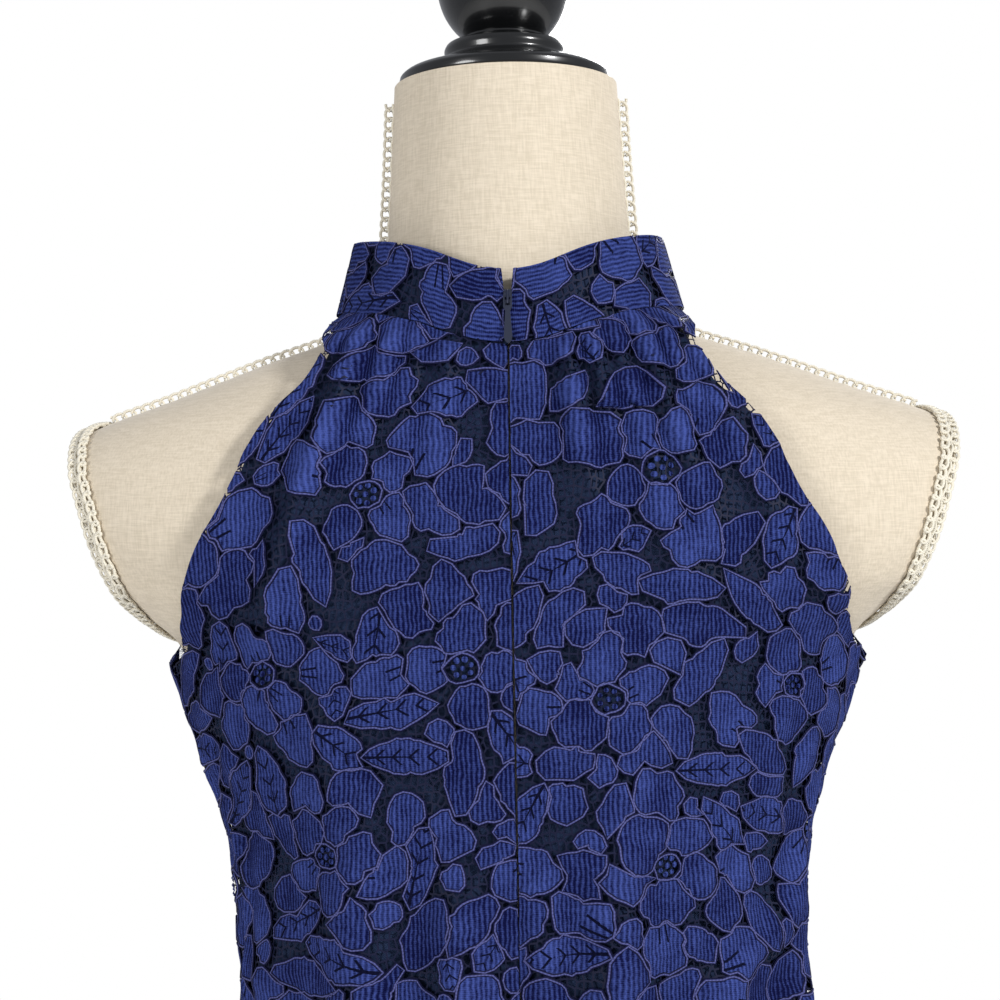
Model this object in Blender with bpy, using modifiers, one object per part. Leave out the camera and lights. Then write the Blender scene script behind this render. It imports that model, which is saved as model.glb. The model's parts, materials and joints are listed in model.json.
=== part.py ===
"""A sleeveless cocktail dress of corded lace over a plain lining, on a limbless dress form.

Metres, +Z up. The origin is on the floor, at the centre of the stand's base. The dress's front faces
-Y, its zip is at +Y, and +X is the wearer's left. Angles round the body run from the centre back (0)
over the side (90) to the centre front (180).
"""

from collections import namedtuple
from math import atan2, cos, degrees, exp, pi, radians, sin

import bmesh
import bpy
from mathutils import Vector

# ---- the dress form -------------------------------------------------------------------------------

Section = namedtuple("Section", "height half_width back front squareness")

FORM_SECTIONS = [
    Section(0.7750, 0.1500, 0.1000, 0.0960, 2.20),
    Section(0.7830, 0.1580, 0.1060, 0.1010, 2.20),
    Section(0.8000, 0.1650, 0.1100, 0.1040, 2.20),
    Section(0.8400, 0.1640, 0.1110, 0.1050, 2.20),
    Section(0.8800, 0.1550, 0.1020, 0.1040, 2.20),
    Section(0.9300, 0.1340, 0.0850, 0.0980, 2.20),
    Section(0.9850, 0.1105, 0.0730, 0.0910, 2.20),
    Section(1.0300, 0.1085, 0.0740, 0.0940, 2.20),
    Section(1.0880, 0.1116, 0.0820, 0.1030, 2.20),
    Section(1.1360, 0.1130, 0.0890, 0.1130, 2.20),
    Section(1.1560, 0.1145, 0.0910, 0.1180, 2.20),
    Section(1.1790, 0.1204, 0.0930, 0.1220, 2.20),
    Section(1.2000, 0.1285, 0.0945, 0.1230, 2.20),
    Section(1.2200, 0.1365, 0.0955, 0.1200, 2.20),
    Section(1.2400, 0.1428, 0.0955, 0.1140, 2.20),
    Section(1.2500, 0.1482, 0.0950, 0.1105, 2.20),
    Section(1.2620, 0.1640, 0.0940, 0.1060, 2.20),
    Section(1.2750, 0.1860, 0.0925, 0.1010, 2.20),
    Section(1.3000, 0.2080, 0.0875, 0.0900, 2.20),
    Section(1.3200, 0.2110, 0.0820, 0.0790, 2.20),
    Section(1.3300, 0.2030, 0.0790, 0.0725, 2.18),
    Section(1.3400, 0.1870, 0.0755, 0.0660, 2.16),
    Section(1.3540, 0.1480, 0.0700, 0.0600, 2.13),
    Section(1.3680, 0.1100, 0.0630, 0.0565, 2.08),
    Section(1.3820, 0.0710, 0.0580, 0.0548, 2.00),
    Section(1.3920, 0.0600, 0.0560, 0.0542, 2.00),
    Section(1.4050, 0.0548, 0.0540, 0.0534, 2.00),
    Section(1.4400, 0.0516, 0.0512, 0.0512, 2.00),
    Section(1.4890, 0.0488, 0.0488, 0.0488, 2.00),
]
EXTRA_FORM_HEIGHTS = (1.347, 1.361, 1.375, 1.387, 1.398)
FORM_COLUMNS = 32

ARM_PLATE_POINT = Vector((0.1812, 0.0, 1.330))
ARM_PLATE_LEAN = radians(20.0)
ARM_PLATE_YAW = radians(7.0)

ARM_BRAID_WIDTH = 0.0085
ARM_BRAID_THICK = 0.0022
ARM_BRAID_GAP = 0.0016
SHOULDER_BRAID_WIDTH = 0.0062
SHOULDER_BRAID_THICK = 0.0043
SHOULDER_BRAID_GAP = 0.0007
SHOULDER_BRAID_HEIGHTS = (1.483, 1.455, 1.425, 1.405, 1.396, 1.390, 1.386, 1.382, 1.377, 1.370, 1.362, 1.354, 1.345)

NECK_TOP = FORM_SECTIONS[-1].height
PIECE_GAP = 0.0003

BASE_RADIUS = 0.172
BASE_HEIGHT = 0.024
POLE_RADIUS = 0.015

# ---- the dress ------------------------------------------------------------------------------------

DRESS_SECTIONS = [
    Section(0.5200, 0.1860, 0.1500, 0.1520, 2.10),
    Section(0.6000, 0.1840, 0.1440, 0.1460, 2.10),
    Section(0.7000, 0.1790, 0.1360, 0.1370, 2.12),
    Section(0.7800, 0.1740, 0.1265, 0.1240, 2.16),
    Section(0.8300, 0.1700, 0.1190, 0.1160, 2.20),
    Section(0.8800, 0.1610, 0.1100, 0.1130, 2.20),
    Section(0.9300, 0.1400, 0.0990, 0.1100, 2.20),
    Section(0.9850, 0.1240, 0.0915, 0.1075, 2.20),
    Section(1.0400, 0.1180, 0.0910, 0.1080, 2.20),
    Section(1.0880, 0.1176, 0.0950, 0.1125, 2.20),
    Section(1.1360, 0.1192, 0.0985, 0.1195, 2.20),
    Section(1.1560, 0.1206, 0.0995, 0.1242, 2.20),
    Section(1.1790, 0.1262, 0.1004, 0.1290, 2.20),
    Section(1.2000, 0.1344, 0.1010, 0.1298, 2.20),
    Section(1.2200, 0.1424, 0.1012, 0.1264, 2.20),
    Section(1.2410, 0.1500, 0.1012, 0.1196, 2.20),
]
HEM = DRESS_SECTIONS[0].height
UNDERARM = DRESS_SECTIONS[-1].height

CLOTH_EASE = 0.0058  # from the form to the middle of the lace, above the underarm
LACE_THICK = 0.0012
LINING_THICK = 0.0008
LINING_INSET = 0.0029
LINING_SHORTER = 0.015
LINING_EDGE = 0.030  # how much of each row the lining leaves free at the side and the armhole, as a share
LINING_FIRST = 0.060  # where each back lining's row starts, beside the zip tape
LINING_DROP = 0.0012  # how far its top row stands below the collar seam

COLLAR_SEAM_X = 0.0750
COLLAR_SEAM_Y = 0.0703
COLLAR_TOP_X = 0.0662
COLLAR_TOP_Y = 0.0618
COLLAR_HEIGHT = 0.031
COLLAR_CORNER = 70.0  # where the armhole meets the collar, round from the centre back or front
COLLAR_LINING_INSET = 0.0016
COLLAR_LINING_THICK = 0.0008
COLLAR_COLUMNS = 32
COLLAR_FOOT = 0.028  # shares of the collar's height, so that it clears the body and its lining
COLLAR_LINING_FOOT = 0.050
COLLAR_LINING_HEAD = 0.970

ZIP_HALF_GAP = 0.0006
ZIP_TOP_HALF_GAP = 0.0024
ZIP_TAPE_WIDTH = 0.0075
ZIP_TAPE_THICK = 0.0008
ZIP_BOTTOM = 0.900
LINING_CENTRE_BACK = 0.0095

ArmholePoint = namedtuple("ArmholePoint", "share height angle")

BACK_ARMHOLE = [
    ArmholePoint(0.00, 1.2410, 90.0),
    ArmholePoint(0.10, 1.2436, 74.0),
    ArmholePoint(0.20, 1.2515, 60.5),
    ArmholePoint(0.30, 1.2640, 49.0),
    ArmholePoint(0.40, 1.2790, 39.6),
    ArmholePoint(0.50, 1.2960, 33.2),
    ArmholePoint(0.60, 1.3140, 29.0),
    ArmholePoint(0.70, 1.3320, 27.2),
    ArmholePoint(0.80, 1.3500, 27.6),
    ArmholePoint(0.90, 1.3690, 34.5),
]
FRONT_ARMHOLE = [
    ArmholePoint(0.00, 1.2410, 90.0),
    ArmholePoint(0.10, 1.2436, 74.0),
    ArmholePoint(0.20, 1.2515, 60.5),
    ArmholePoint(0.30, 1.2640, 47.0),
    ArmholePoint(0.40, 1.2790, 38.0),
    ArmholePoint(0.50, 1.2960, 32.0),
    ArmholePoint(0.60, 1.3140, 29.8),
    ArmholePoint(0.70, 1.3320, 28.5),
    ArmholePoint(0.80, 1.3500, 31.0),
    ArmholePoint(0.90, 1.3690, 41.0),
]

Gather = namedtuple("Gather", "side angle width depth length")

GATHERS = [
    Gather(1, 30.0, 3.2, 0.0012, 0.040),
    Gather(1, 39.0, 3.4, 0.0022, 0.085),
    Gather(1, 48.0, 3.4, 0.0026, 0.070),
    Gather(1, 57.5, 3.6, 0.0022, 0.110),
    Gather(1, 66.0, 3.0, 0.0016, 0.060),
    Gather(-1, 19.0, 3.0, 0.0012, 0.045),
    Gather(-1, 29.0, 3.4, 0.0020, 0.080),
    Gather(-1, 38.0, 3.2, 0.0026, 0.060),
    Gather(-1, 47.5, 3.6, 0.0022, 0.095),
    Gather(-1, 58.0, 3.4, 0.0024, 0.075),
    Gather(-1, 66.5, 3.0, 0.0014, 0.050),
    Gather(1, 118.0, 3.4, 0.0020, 0.070),
    Gather(1, 129.0, 3.6, 0.0026, 0.095),
    Gather(1, 141.0, 3.6, 0.0020, 0.060),
    Gather(1, 154.0, 3.4, 0.0014, 0.050),
    Gather(-1, 116.0, 3.4, 0.0016, 0.060),
    Gather(-1, 127.0, 3.4, 0.0024, 0.080),
    Gather(-1, 138.0, 3.6, 0.0026, 0.105),
    Gather(-1, 151.0, 3.4, 0.0018, 0.055),
    Gather(-1, 165.0, 3.0, 0.0010, 0.040),
]

Fold = namedtuple("Fold", "side angle_top angle_hem width top full depth")

FOLDS = [
    Fold(1, 9.0, 10.0, 5.0, 1.150, 1.060, 0.0050),
    Fold(1, 29.0, 33.0, 8.0, 1.200, 1.040, 0.0060),
    Fold(1, 58.0, 62.0, 8.0, 1.130, 0.960, 0.0050),
    Fold(1, 79.0, 84.0, 5.0, 1.195, 1.090, 0.0024),
    Fold(-1, 16.0, 18.0, 6.0, 1.170, 1.060, 0.0065),
    Fold(-1, 41.0, 40.0, 8.0, 1.120, 0.960, 0.0055),
    Fold(-1, 66.0, 68.0, 8.0, 1.190, 1.020, 0.0050),
    Fold(1, 112.0, 108.0, 9.0, 1.080, 0.900, 0.0050),
    Fold(1, 141.0, 138.0, 9.0, 1.050, 0.880, 0.0060),
    Fold(1, 170.0, 168.0, 8.0, 1.000, 0.860, 0.0045),
    Fold(-1, 106.0, 102.0, 9.0, 1.060, 0.900, 0.0055),
    Fold(-1, 133.0, 131.0, 9.0, 1.090, 0.900, 0.0050),
    Fold(-1, 158.0, 160.0, 9.0, 1.020, 0.860, 0.0060),
]

QUARTER_GIRTH = 0.20  # about a quarter of the way round, to turn the side seam's gap into a share
BACK_COLUMNS = 16
FRONT_COLUMNS = 22
SKIRT_ROWS = (0.520, 0.600, 0.680, 0.755, 0.820, 0.880, 0.930, 0.985, 1.050, 1.105, 1.145, 1.175, 1.207)
HALTER_ROWS = 10

COLORS = {
    "lace": ((0.032, 0.045, 0.262), 0.80, 0.0),
    "lining": ((0.012, 0.017, 0.048), 0.60, 0.0),
    "linen": ((0.760, 0.670, 0.527), 0.90, 0.0),
    "braid": ((0.830, 0.791, 0.680), 0.75, 0.0),
    "black_wood": ((0.010, 0.010, 0.012), 0.25, 0.0),
    "zip_tape": ((0.010, 0.012, 0.030), 0.80, 0.0),
    "zip_metal": ((0.015, 0.016, 0.030), 0.30, 0.6),
}


def clear_scene():
    for obj in list(bpy.data.objects):
        bpy.data.objects.remove(obj, do_unlink=True)


def make_collection(name):
    collection = bpy.data.collections.new(name)
    bpy.context.scene.collection.children.link(collection)
    return collection


def make_materials():
    materials = {}
    for name, (color, roughness, metallic) in COLORS.items():
        material = bpy.data.materials.new(name)
        material.use_nodes = True
        shader = material.node_tree.nodes["Principled BSDF"]
        shader.inputs["Base Color"].default_value = (*color, 1.0)
        shader.inputs["Roughness"].default_value = roughness
        shader.inputs["Metallic"].default_value = metallic
        materials[name] = material
    return materials


# ---- curves through tables ------------------------------------------------------------------------


def through(rows, column, key, at):
    """The value of a column where the key column is at, on a smooth curve with no overshoot."""
    keys = [getattr(row, key) for row in rows]
    values = [getattr(row, column) for row in rows]
    at = min(max(at, keys[0]), keys[-1])
    last = len(keys) - 2
    i = next((k for k in range(last + 1) if at <= keys[k + 1]), last)
    slopes = [(values[k + 1] - values[k]) / (keys[k + 1] - keys[k]) for k in range(last + 1)]

    def tangent(k):
        if k == 0:
            return slopes[0]
        if k > last:
            return slopes[last]
        before, after = slopes[k - 1], slopes[k]
        return 0.0 if before * after <= 0.0 else 2.0 * before * after / (before + after)

    span = keys[i + 1] - keys[i]
    t = (at - keys[i]) / span
    return (
        values[i] * (2 * t**3 - 3 * t**2 + 1)
        + tangent(i) * span * (t**3 - 2 * t**2 + t)
        + values[i + 1] * (3 * t**2 - 2 * t**3)
        + tangent(i + 1) * span * (t**3 - t**2)
    )


def soft_step(low, high, at):
    t = min(max((at - low) / (high - low), 0.0), 1.0)
    return t * t * (3.0 - 2.0 * t)


def section_at(rows, height):
    return Section(
        height,
        through(rows, "half_width", "height", height),
        through(rows, "back", "height", height),
        through(rows, "front", "height", height),
        through(rows, "squareness", "height", height),
    )


def on_section(section, angle, grow=0.0):
    """A point of a section, angle in degrees round from the centre back."""
    turn = radians(angle)
    power = 2.0 / section.squareness
    depth = section.back if cos(turn) >= 0.0 else section.front
    x = (section.half_width + grow) * abs(sin(turn)) ** power
    y = (depth + grow) * abs(cos(turn)) ** power
    return Vector((x if sin(turn) >= 0.0 else -x, y if cos(turn) >= 0.0 else -y, section.height))


def cloth_section(height):
    """The middle of the lace at this height: the form and its ease above the underarm, else the cut."""
    if height <= UNDERARM:
        return section_at(DRESS_SECTIONS, height)
    here = section_at(FORM_SECTIONS, height)
    below = section_at(FORM_SECTIONS, height - CLOTH_EASE)
    return Section(
        height,
        max(here.half_width, below.half_width) + CLOTH_EASE,
        max(here.back, below.back) + CLOTH_EASE,
        max(here.front, below.front) + CLOTH_EASE,
        below.squareness,
    )


def cloth_height_over(x, y):
    """The height at which the cloth's middle passes over a point near the neck."""
    low, high = UNDERARM, NECK_TOP
    for _ in range(40):
        middle = 0.5 * (low + high)
        section = cloth_section(middle)
        depth = section.back if y >= 0.0 else section.front
        inside = (abs(x) / section.half_width) ** section.squareness + (abs(y) / depth) ** section.squareness
        low, high = (middle, high) if inside < 1.0 else (low, middle)
    return 0.5 * (low + high)


def collar_seam(angle):
    """A point of the seam between the collar and the body, on the cloth's own surface."""
    x = COLLAR_SEAM_X * sin(radians(angle))
    y = COLLAR_SEAM_Y * cos(radians(angle))
    return Vector((x, y, cloth_height_over(x, y)))


def angle_on_cloth(point):
    """The angle on the section that on_section would need to give this point."""
    section = cloth_section(point.z)
    half = section.squareness / 2.0
    depth = section.back if point.y >= 0.0 else section.front
    across = (abs(point.x) / section.half_width) ** half
    along = (abs(point.y) / depth) ** half
    return degrees(atan2(across, along))


def armhole(rows, share, corner):
    """The height and the angle of the armhole's edge, share 0 at the underarm and 1 at the collar."""
    rows = rows + [corner]
    return through(rows, "height", "share", share), through(rows, "angle", "share", share)


# ---- the cloth's surface --------------------------------------------------------------------------


def fold_height(side, angle, height, seam_height):
    """How far the lace stands out from its plain surface, in gathers and folds."""
    out = 0.0
    for gather in GATHERS:
        below = max(seam_height - height, 0.0)
        spread = gather.width * (1.0 + below / 0.12)
        if gather.side == side and below < gather.length:
            fade = 1.0 - soft_step(0.15 * gather.length, gather.length, below)
            out += gather.depth * fade * exp(-((angle - gather.angle) / spread) ** 2)
    for fold in FOLDS:
        if fold.side != side or height > fold.top:
            continue
        grown = soft_step(fold.top, fold.full, height)
        place = fold.angle_top + (fold.angle_hem - fold.angle_top) * (fold.top - height) / (fold.top - HEM)
        out += fold.depth * grown * exp(-((angle - place) / fold.width) ** 2)
    return out


def halter_row(side, share, columns, front, first, last):
    """Points of one row between the underarm and the collar seam, from the centre to the armhole."""
    table = FRONT_ARMHOLE if front else BACK_ARMHOLE
    centre = 180.0 if front else 0.0
    turn = -1.0 if front else 1.0
    corner_point = collar_seam(centre + turn * COLLAR_CORNER)
    corner = ArmholePoint(1.0, corner_point.z, angle_on_cloth(corner_point))
    edge_height, edge_angle = armhole(table, share, corner)
    seam_centre = collar_seam(centre).z
    centre_height = UNDERARM + (seam_centre - UNDERARM) * share
    points = []
    for i in range(columns + 1):
        across = first + (last - first) * i / columns
        on_seam = collar_seam(centre + turn * COLLAR_CORNER * across)
        rise = (on_seam.z - seam_centre) / (corner_point.z - seam_centre)
        height = centre_height + (edge_height - centre_height) * rise
        blend = share * share
        angle = (1.0 - blend) * edge_angle * across + blend * angle_on_cloth(on_seam)
        points.append((side, centre + turn * angle, height, on_seam.z))
    return points


def level_row(side, height, columns, front, first, last):
    """Points of one level row below the underarm, from the centre to the side seam."""
    centre = 180.0 if front else 0.0
    turn = -1.0 if front else 1.0
    row = []
    for i in range(columns + 1):
        across = first + (last - first) * i / columns
        row.append((side, centre + turn * 90.0 * across, height, 2.0))
    return row


def cloth_point(place, inset, folded):
    """The place in space, moved in from the middle of the lace and out by its folds."""
    side, angle, height, seam_height = place
    section = cloth_section(height)
    point = on_section(section, angle, -inset)
    if folded:
        around = on_section(section, angle + 0.5) - on_section(section, angle - 0.5)
        out = Vector((-around.y, around.x, 0.0)).normalized() * (-1.0)
        if out.dot(Vector((point.x, point.y, 0.0))) < 0.0:
            out.negate()
        point = point + out * fold_height(side, angle, height, seam_height)
    point.x *= side
    return point


def half_panel(side, front, columns, skirt_rows, halter_rows, inset, folded, first, last, drop):
    """A grid of points, hem first, each row from the centre line out."""
    rows = [level_row(side, height, columns, front, first, last) for height in skirt_rows]
    for j in range(halter_rows + 1):
        rows.append(halter_row(side, j / halter_rows, columns, front, first, last))
    grid = []
    for row in rows:
        grid.append([cloth_point(place, inset, folded) for place in row])
    for point in grid[-1]:
        point.z -= drop
    return grid


def shell(name, grid, thickness, material, collection):
    """A sheet through a grid of points, made a wall with Solidify."""
    columns = len(grid[0])
    points = [tuple(point) for row in grid for point in row]
    faces = []
    for j in range(len(grid) - 1):
        for i in range(columns - 1):
            a = j * columns + i
            faces.append((a, a + 1, a + columns + 1, a + columns))
    mesh = bpy.data.meshes.new(name)
    mesh.from_pydata(points, [], faces)
    obj = bpy.data.objects.new(name, mesh)
    obj.data.materials.append(material)
    collection.objects.link(obj)
    mesh.shade_smooth()
    wall = obj.modifiers.new("wall", "SOLIDIFY")
    wall.thickness = thickness
    wall.offset = 0.0
    wall.use_even_offset = True
    return obj


def set_from_centre(grid, side, distance):
    """Moves the centre back edge of a half panel to its distance from the seam line."""
    for row in grid:
        row[0].x = side * distance


def make_body_panels(materials, collection):
    seam = PIECE_GAP / 2.0
    side_share = 1.0 - seam / QUARTER_GIRTH
    lining_rows = (HEM + LINING_SHORTER,) + SKIRT_ROWS[1:]
    for side, word in ((1, "left"), (-1, "right")):
        grid = half_panel(side, False, BACK_COLUMNS, SKIRT_ROWS, HALTER_ROWS, 0.0, True, 0.0, side_share, seam)
        set_from_centre(grid, side, ZIP_HALF_GAP)
        shell(f"dress_back_{word}", grid, LACE_THICK, materials["lace"], collection)

        grid = half_panel(
            side, False, BACK_COLUMNS // 2, lining_rows, HALTER_ROWS,
            LINING_INSET, False, LINING_FIRST, 1.0 - LINING_EDGE, LINING_DROP,
        )
        set_from_centre(grid, side, LINING_CENTRE_BACK)
        shell(f"lining_back_{word}", grid, LINING_THICK, materials["lining"], collection)

    half = FRONT_COLUMNS // 2
    right = half_panel(-1, True, half, SKIRT_ROWS, HALTER_ROWS, 0.0, True, 0.0, side_share, seam)
    left = half_panel(1, True, half, SKIRT_ROWS, HALTER_ROWS, 0.0, True, 0.0, side_share, seam)
    grid = [list(reversed(a)) + b[1:] for a, b in zip(right, left)]
    shell("dress_front", grid, LACE_THICK, materials["lace"], collection)

    last = 1.0 - LINING_EDGE
    columns = half // 2 + 1
    right = half_panel(-1, True, columns, lining_rows, HALTER_ROWS, LINING_INSET, False, 0.0, last, LINING_DROP)
    left = half_panel(1, True, columns, lining_rows, HALTER_ROWS, LINING_INSET, False, 0.0, last, LINING_DROP)
    grid = [list(reversed(a)) + b[1:] for a, b in zip(right, left)]
    shell("lining_front", grid, LINING_THICK, materials["lining"], collection)


def collar_point(angle, share, inset):
    """A point of the collar, angle 0 to 360 round from the centre back, share 0 at the seam."""
    seam = collar_seam(angle)
    x = (COLLAR_SEAM_X + (COLLAR_TOP_X - COLLAR_SEAM_X) * share - inset) * sin(radians(angle))
    y = (COLLAR_SEAM_Y + (COLLAR_TOP_Y - COLLAR_SEAM_Y) * share - inset) * cos(radians(angle))
    return Vector((x, y, seam.z + COLLAR_HEIGHT * share))


def make_collar(name, inset, thickness, foot, head, material, collection):
    """A band from one zip edge round to the other, between two shares of the collar's height."""
    grid = []
    for j in range(3):
        share = foot + (head - foot) * j / 2.0
        half_gap = ZIP_HALF_GAP + (ZIP_TOP_HALF_GAP - ZIP_HALF_GAP) * max(share, 0.0) ** 2 + inset * 0.2
        start = degrees(half_gap / COLLAR_SEAM_X)
        row = []
        for i in range(COLLAR_COLUMNS + 1):
            angle = start + (360.0 - 2.0 * start) * i / COLLAR_COLUMNS
            row.append(collar_point(angle, share, inset))
        grid.append(row)
    shell(name, grid, thickness, material, collection)


def make_zip_tapes(materials, collection):
    """Two narrow strips beside the lining, from the top of the collar to the end of the zip."""
    steps = 16
    for side, word in ((1, "left"), (-1, "right")):
        grid = []
        top = collar_seam(0.0).z - 0.0015
        for j in range(steps + 1):
            height = ZIP_BOTTOM + (top - ZIP_BOTTOM) * j / steps
            section = cloth_section(height)
            y = section.back - LINING_INSET
            near = Vector((side * ZIP_HALF_GAP, y, height))
            far = Vector((side * (ZIP_HALF_GAP + ZIP_TAPE_WIDTH), y - 0.0004, height))
            grid.append([near, far])
        shell(f"zip_tape_{word}", grid, ZIP_TAPE_THICK, materials["zip_tape"], collection)


# ---- the zip's slider and its pull ----------------------------------------------------------------

COLLAR_LEAN = atan2(COLLAR_SEAM_Y - COLLAR_TOP_Y, COLLAR_HEIGHT)
SLIDER_SHARE = 0.60  # how far up the collar the slider stands
SLIDER_LENGTH = 0.0070
SLIDER_OUTER = (0.0017, 0.0009, 0.0009)  # half width, first y, thickness
SLIDER_INNER = (0.0026, -0.0039, 0.0014)
SLIDER_WEB = 0.00035
PULL_OUT = 0.0029  # the hinge's distance from the middle of the collar
PULL_BAR = 0.0004
CROWN_RADIUS = 0.0005
CROWN_OUT = 0.0011
CROWN_REACH = 0.0027
PULL_LENGTH = 0.0200


def closed_outline(name, outlines, half_thick, material, collection):
    """A flat plate from outlines in its own XY plane, the first outside and the rest holes."""
    data = bpy.data.curves.new(name, "CURVE")
    data.dimensions = "2D"
    data.fill_mode = "BOTH"
    data.extrude = half_thick
    for outline in outlines:
        spline = data.splines.new("POLY")
        spline.points.add(len(outline) - 1)
        for point, (x, y) in zip(spline.points, outline):
            point.co = (x, y, 0.0, 1.0)
        spline.use_cyclic_u = True
    obj = bpy.data.objects.new(name, data)
    obj.data.materials.append(material)
    collection.objects.link(obj)
    return obj


def as_mesh(obj, collection):
    """The curve's shape as a mesh object of the same name and place, its loose caps welded."""
    bpy.context.view_layer.update()
    graph = bpy.context.evaluated_depsgraph_get()
    mesh = bpy.data.meshes.new_from_object(obj.evaluated_get(graph))
    name, place, material = obj.name, obj.matrix_world.copy(), obj.data.materials[0]
    bpy.data.objects.remove(obj, do_unlink=True)
    edit = bmesh.new()
    edit.from_mesh(mesh)
    bmesh.ops.remove_doubles(edit, verts=edit.verts, dist=1e-6)
    edit.to_mesh(mesh)
    edit.free()
    mesh.name = name
    solid = bpy.data.objects.new(name, mesh)
    solid.matrix_world = place
    if not mesh.materials:
        mesh.materials.append(material)
    collection.objects.link(solid)
    return solid


def make_slider(materials, collection, cutters):
    """The slider: a plate behind the collar, a web in the slot, a plate outside and a crown on it."""
    outer_half, outer_y, outer_thick = SLIDER_OUTER
    inner_half, inner_y, inner_thick = SLIDER_INNER
    right = [
        (SLIDER_WEB, inner_y + inner_thick),
        (inner_half, inner_y + inner_thick),
        (inner_half, inner_y),
    ]
    outside = [
        (outer_half, outer_y + outer_thick),
        (outer_half, outer_y),
        (SLIDER_WEB, outer_y),
    ]
    half = outside + right
    outline = half + [(-x, y) for x, y in reversed(half)]
    middle = collar_point(0.0, SLIDER_SHARE, 0.0)
    frame = bpy.data.objects.new("slider_place", None)
    frame.location = (0.0, middle.y, middle.z)
    frame.rotation_euler = (COLLAR_LEAN, 0.0, 0.0)
    collection.objects.link(frame)

    body = closed_outline("zip_slider", [outline], SLIDER_LENGTH / 2.0, materials["zip_metal"], collection)
    body.matrix_world = frame_matrix(frame)
    body = as_mesh(body, collection)

    data = bpy.data.curves.new("crown", "CURVE")
    data.dimensions = "3D"
    data.bevel_depth = CROWN_RADIUS
    data.bevel_resolution = 1
    data.use_fill_caps = True
    reach, foot, out = CROWN_REACH, outer_y + 0.5 * outer_thick, PULL_OUT + CROWN_OUT
    bend = 0.0007
    route = [
        (0.0, foot, reach), (0.0, out - bend, reach), (0.0, out, reach - bend),
        (0.0, out, bend - reach), (0.0, out - bend, -reach), (0.0, foot, -reach),
    ]
    spline = data.splines.new("POLY")
    spline.points.add(len(route) - 1)
    for point, place in zip(spline.points, route):
        point.co = (*place, 1.0)
    crown = bpy.data.objects.new("crown", data)
    crown.data.materials.append(materials["zip_metal"])
    cutters.objects.link(crown)
    crown.matrix_world = frame_matrix(frame)
    crown = as_mesh(crown, cutters)
    crown.hide_render = True
    crown.display_type = "WIRE"
    union = body.modifiers.new("crown", "BOOLEAN")
    union.operation = "UNION"
    union.solver = "MANIFOLD"
    union.object = crown
    return frame


def frame_matrix(frame):
    bpy.context.view_layer.update()
    return frame.matrix_world.copy()


def make_pull(frame, materials, collection):
    """The hanging tab: an eye round the crown, then a slim drop. Its origin is on the hinge."""
    eye_half, eye_length = 0.0018, 0.0046
    waist_half, drop_half = 0.0010, 0.0017
    shoulder, drop_middle = 0.0062, PULL_LENGTH - 0.0030
    right = [(eye_half, PULL_BAR), (eye_half, -eye_length), (waist_half, -shoulder)]
    right += [(drop_half * 0.92, -drop_middle + 0.0024)]
    for i in range(7):
        turn = radians(90.0 * i / 6.0)
        right.append((drop_half * cos(turn), -drop_middle - (PULL_LENGTH - drop_middle) * sin(turn)))
    outline = right + [(-x, y) for x, y in reversed(right[:-1])]
    hole_half, hole_end = 0.0011, 0.0040
    hole = [(hole_half, -PULL_BAR), (hole_half, -hole_end), (-hole_half, -hole_end), (-hole_half, -PULL_BAR)]
    pull = closed_outline("zip_pull", [outline, hole], PULL_BAR, materials["zip_metal"], collection)
    pull.parent = frame
    pull.location = (0.0, PULL_OUT, 0.0)
    pull.rotation_euler = (radians(90.0), 0.0, 0.0)
    return pull


# ---- the form -------------------------------------------------------------------------------------


def arm_plate_normal(side):
    lean, yaw = ARM_PLATE_LEAN, ARM_PLATE_YAW
    return Vector((side * cos(lean) * cos(yaw), -cos(lean) * sin(yaw), -sin(lean)))


def arm_plate_point(side):
    return Vector((side * ARM_PLATE_POINT.x, ARM_PLATE_POINT.y, ARM_PLATE_POINT.z))


def on_form(section, angle):
    """A point of the form, cut flat at the arm plates."""
    point = on_section(section, angle)
    if abs(point.x) > 0.1:
        side = 1 if point.x > 0.0 else -1
        normal = arm_plate_normal(side)
        over = normal.dot(point - arm_plate_point(side))
        if over > 0.0:
            point.x -= over / normal.x
    return point


def make_form(materials, collection):
    heights = sorted([section.height for section in FORM_SECTIONS] + list(EXTRA_FORM_HEIGHTS))
    points = []
    for height in heights:
        section = section_at(FORM_SECTIONS, height)
        for i in range(FORM_COLUMNS):
            points.append(tuple(on_form(section, 360.0 * i / FORM_COLUMNS)))
    faces = []
    for j in range(len(heights) - 1):
        for i in range(FORM_COLUMNS):
            a = j * FORM_COLUMNS + i
            b = j * FORM_COLUMNS + (i + 1) % FORM_COLUMNS
            faces.append((a, b, b + FORM_COLUMNS, a + FORM_COLUMNS))
    faces.append(tuple(range(FORM_COLUMNS)))
    top = (len(heights) - 1) * FORM_COLUMNS
    faces.append(tuple(range(top, top + FORM_COLUMNS)))
    mesh = bpy.data.meshes.new("form_torso")
    mesh.from_pydata(points, [], faces)
    edit = bmesh.new()
    edit.from_mesh(mesh)
    bmesh.ops.recalc_face_normals(edit, faces=edit.faces)
    edit.to_mesh(mesh)
    edit.free()
    mesh.shade_smooth()
    mesh.set_sharp_from_angle(angle=radians(50.0))
    obj = bpy.data.objects.new("form_torso", mesh)
    obj.data.materials.append(materials["linen"])
    collection.objects.link(obj)


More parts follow.
